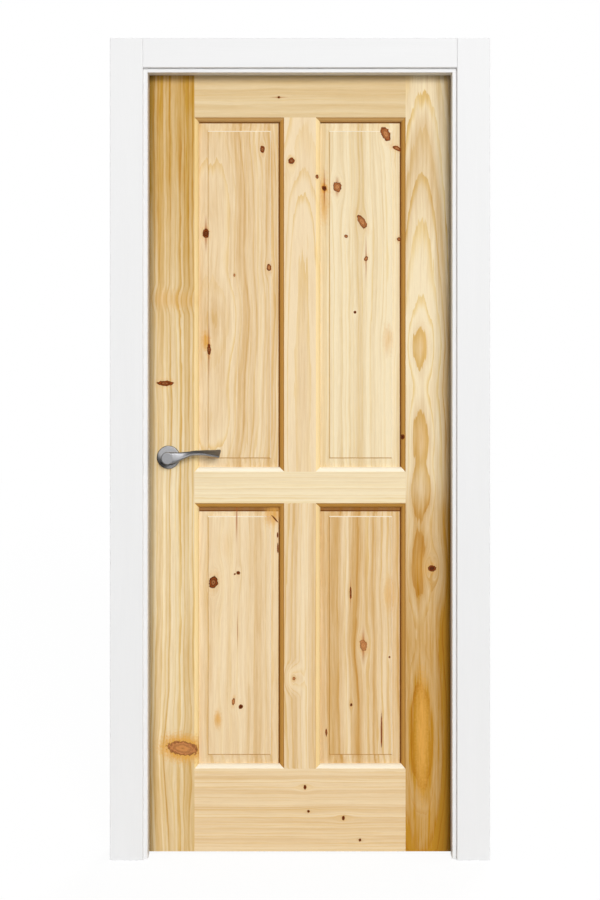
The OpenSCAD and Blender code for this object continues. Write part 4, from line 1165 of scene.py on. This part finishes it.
def spring_tree():
    """A coil of round wire."""
    tree, b, take, give = new_group(
        "coil_spring",
        "GeometryNodeTree",
        [
            ("Places", "Geometry"),
            ("Coil Radius", FLOAT),
            ("Wire Radius", FLOAT),
            ("Length", FLOAT),
            ("Pitch", FLOAT),
            ("Finish", "Material"),
        ],
        [("Pieces", "Geometry")],
    )
    size = [take[label] for label in ("Coil Radius", "Length", "Pitch", "Wire Radius")]
    set_out(b, take, give, wound_wire(b, *size, SPRING_STEPS, WIRE_CORNERS))
    return tree


def solids_of(name):
    """Corners of each solid of a CAD node, found on a merged copy of its mesh."""
    mesh = bmesh.new()
    mesh.from_mesh(nodes[name].data)
    bmesh.ops.remove_doubles(mesh, verts=mesh.verts, dist=SAME_POINT)
    left = set(mesh.verts)
    found = []
    while left:
        front = [left.pop()]
        group = list(front)
        while front:
            vert = front.pop()
            for edge in vert.link_edges:
                other = edge.other_vert(vert)
                if other in left:
                    left.remove(other)
                    front.append(other)
                    group.append(other)
        found.append([v.co.copy() for v in group])
    mesh.free()
    found.sort(key=lambda points: tuple(round(min(p[i] for p in points), 5) for i in (2, 1, 0)))
    return found


def head_of(points, axis):
    """Middle of the wide end of a screw and the way it looks."""
    low = [min(p[i] for p in points) for i in range(3)]
    high = [max(p[i] for p in points) for i in range(3)]
    middle = [(a + b) / 2 for a, b in zip(low, high)]
    near = (high[axis] - low[axis]) * END_SHARE

    def width(end):
        ring = [p for p in points if abs(p[axis] - end) < near]
        return max((p - Vector([p[i] if i == axis else middle[i] for i in range(3)])).length for p in ring)

    top = high[axis] if width(high[axis]) >= width(low[axis]) + WIDER_BY else low[axis]
    place = Vector(middle)
    place[axis] = top
    look = Vector((0, 0, 0))
    look[axis] = 1.0 if top == high[axis] else -1.0
    return place, look


def laid_out(name, places, tree, sizes, finish):
    """One mesh of what the tree makes at each place, given with the way it looks and sizes in millimetres."""
    mesh = bpy.data.meshes.new(name)
    mesh.from_pydata([place for place, _ in places], [], [])
    aims = mesh.attributes.new("aim", "FLOAT_VECTOR", "POINT")
    for i, (_, look) in enumerate(places):
        aims.data[i].vector = look
    piece = bpy.data.objects.new(name, mesh)
    bpy.context.scene.collection.objects.link(piece)
    maker = piece.modifiers.new(name, "NODES")
    maker.node_group = tree
    for socket in tree.interface.items_tree:
        if socket.in_out == "INPUT" and socket.name in sizes:
            maker[socket.identifier] = sizes[socket.name] * MM
        elif socket.in_out == "INPUT" and socket.name == "Finish":
            maker[socket.identifier] = finish
    bpy.context.view_layer.update()
    return settled(piece)


SCREW = screw_tree()
SPRING = spring_tree()


def screw_set(name, node_name, body, sizes, finish):
    """Screws in place of a CAD node of screws that lie along x."""
    heads = [head_of(points, 0) for points in solids_of(node_name)]
    piece = laid_out(name, heads, SCREW, sizes, finish)
    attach(piece, body)
    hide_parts(node_name)


def wood_screw(diameter, length):
    """Sizes of a countersunk wood screw, in shares of its diameter."""
    return {
        "Head Radius": diameter * 0.95,
        "Head Height": diameter * 0.5,
        "Shank Radius": diameter / 2,
        "Length": length,
        "Thread Height": diameter * 0.14,
        "Thread Pitch": diameter * 0.45,
    }


HINGE_SCREW = wood_screw(4.5, 22.0)
PLATE_SCREW = wood_screw(4.0, 20.0)
screw_set("frame_hinge_screws", "hinge_frame_screws", "frame", HINGE_SCREW, LATCH_STEEL)
screw_set("leaf_hinge_screws", "hinge_leaf_screws", "leaf", HINGE_SCREW, LATCH_STEEL)
screw_set("strike_plate_screws", "strike_screws", "frame", PLATE_SCREW, SATIN_NICKEL)
screw_set("faceplate_fixing_screws", "faceplate_screws", "leaf", PLATE_SCREW, SATIN_NICKEL)


# Bolt spring: its far end rests on a lug of the latch case, and the bolt shortens it

SPRING_TURNS = 8
SPRING_WIRE = 0.5


def bolt_spring(name, node_name):
    """The coil in place of the CAD node, wound along x."""
    low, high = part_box(node_name)
    middle = (low + high) / 2
    length = (high.x - low.x) / MM - 2 * SPRING_WIRE
    sizes = {
        "Coil Radius": (high.y - low.y) / 2 / MM - SPRING_WIRE,
        "Wire Radius": SPRING_WIRE,
        "Length": length,
        "Pitch": length / SPRING_TURNS,
    }
    start = Vector((low.x + SPRING_WIRE * MM, middle.y, middle.z))
    piece = laid_out(name, [(start, Vector((1.0, 0.0, 0.0)))], SPRING, sizes, LATCH_STEEL)
    piece.data.shade_smooth()
    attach(piece, "leaf")
    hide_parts(node_name)
    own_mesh(piece)


bolt_spring("bolt_spring", "latch_spring")


# Stage: what the camera and the mirrored rays see of floor and air is lighter than what lights the door

FLOOR_HALF = 12.0
PAPER_WHITE = 0.93
PAPER_LIT = (0.4, 0.4, 0.4, 1.0)
PAPER_SHADOW = (0.09, 0.09, 0.09, 1.0)
LIGHT = (1.0, 1.0, 1.0, 1.0)
FILL = 0.46
ROOM = 0.08
CEILING = 0.06
FLOOR_FROM, FLOOR_TO = -1.8, -0.3
CEILING_FROM, CEILING_TO = 0.15, 0.7
ROOM_FROM, ROOM_TO = -0.6, 0.3


def floor():
    mesh = bpy.data.meshes.new("floor")
    corners = [(-1, -1), (1, -1), (1, 1), (-1, 1)]
    mesh.from_pydata([(x * FLOOR_HALF, y * FLOOR_HALF, 0.0) for x, y in corners], [], [(0, 1, 2, 3)])
    made = bpy.data.materials.new("pale_floor")
    made.use_nodes = True
    made.node_tree.nodes.clear()
    b = Bench(made.node_tree)
    path = b.node("ShaderNodeLightPath").outputs
    here = b.split(b.node("ShaderNodeTexCoord").outputs["Object"])[1]
    near = b.math("MULTIPLY", path["Is Glossy Ray"], b.step(here, FLOOR_FROM, FLOOR_TO, ROOM, 1.0))
    seen = b.math("MAXIMUM", path["Is Camera Ray"], path["Is Transmission Ray"])
    level = b.math("MULTIPLY", b.math("MAXIMUM", seen, near), PAPER_WHITE)
    seen = b.math("MAXIMUM", seen, path["Is Glossy Ray"])
    paper = b.node("ShaderNodeBsdfDiffuse", PAPER_LIT)
    faint = b.node("ShaderNodeBsdfDiffuse", PAPER_SHADOW)
    glow = b.node("ShaderNodeEmission", LIGHT, level)
    white = b.node("ShaderNodeAddShader", glow.outputs[0], faint.outputs[0])
    both = b.node("ShaderNodeMixShader", seen, paper.outputs[0], white.outputs[0])
    out = b.node("ShaderNodeOutputMaterial")
    b.feed(out.inputs["Surface"], both.outputs[0])
    mesh.materials.append(made)
    piece = bpy.data.objects.new("floor", mesh)
    bpy.context.scene.collection.objects.link(piece)


floor()


def studio_air():
    """White to the camera, a plain fill for the door, and a dark ceiling and room in its metal."""
    world = bpy.data.worlds.new("studio")
    bpy.context.scene.world = world
    world.use_nodes = True
    world.node_tree.nodes.clear()
    b = Bench(world.node_tree)
    ray = b.node("ShaderNodeLightPath").outputs
    seen = b.math("MAXIMUM", ray["Is Camera Ray"], ray["Is Transmission Ray"])
    _, depth, height = b.split(b.node("ShaderNodeTexCoord").outputs["Generated"])
    ceiling = b.step(height, CEILING_FROM, CEILING_TO, 1.0, CEILING)
    mirrored = b.math("MULTIPLY", ceiling, b.step(depth, ROOM_FROM, ROOM_TO, ROOM, 1.0))
    plain = b.math("MULTIPLY", b.math("SUBTRACT", 1.0, ray["Is Glossy Ray"]), FILL)
    sheen = b.math("MAXIMUM", seen, b.math("MULTIPLY", ray["Is Glossy Ray"], mirrored))
    sky = b.node("ShaderNodeBackground", LIGHT, b.math("MAXIMUM", sheen, plain))
    b.feed(b.node("ShaderNodeOutputWorld").inputs["Surface"], sky.outputs[0])


studio_air()

LAMP_AWAY = 6.0


def sun(name, right, up, strength, softness):
    """A far soft lamp, turned right from the front of the push side and raised by so many degrees."""
    lamp = bpy.data.lights.new(name, "SUN")
    lamp.energy = strength
    lamp.angle = math.radians(softness)
    made = bpy.data.objects.new(name, lamp)
    bpy.context.scene.collection.objects.link(made)
    side, rise = math.radians(right), math.radians(up)
    toward = Vector((math.sin(side) * math.cos(rise), -math.cos(side) * math.cos(rise), math.sin(rise)))
    made.rotation_mode = "QUATERNION"
    made.rotation_quaternion = toward.to_track_quat("Z", "Y")
    made.location = toward * LAMP_AWAY


sun("key_lamp", right=10.0, up=15.0, strength=1.97, softness=18.0)
sun("back_lamp", right=165.0, up=24.0, strength=1.3, softness=18.0)

# Camera: level, in front of the push side, with the horizon above the middle of the picture
EYE_AWAY = 4.801
EYE_HEIGHT = 1.35
FRAME_HEIGHT_PX = 900.0
FOCAL_PX = 1850.5
HORIZON_ABOVE_MIDDLE_PX = 116.0
SENSOR = 36.0
lens = bpy.data.cameras.new("camera")
lens.sensor_width = SENSOR
lens.lens = FOCAL_PX / FRAME_HEIGHT_PX * SENSOR
lens.shift_y = -HORIZON_ABOVE_MIDDLE_PX / FRAME_HEIGHT_PX
camera = bpy.data.objects.new("camera", lens)
bpy.context.scene.collection.objects.link(camera)
camera.location = (0.0, -EYE_AWAY, EYE_HEIGHT)
camera.rotation_euler = (math.pi / 2, 0.0, 0.0)
bpy.context.scene.camera = camera
bpy.context.scene.view_settings.view_transform = "Standard"
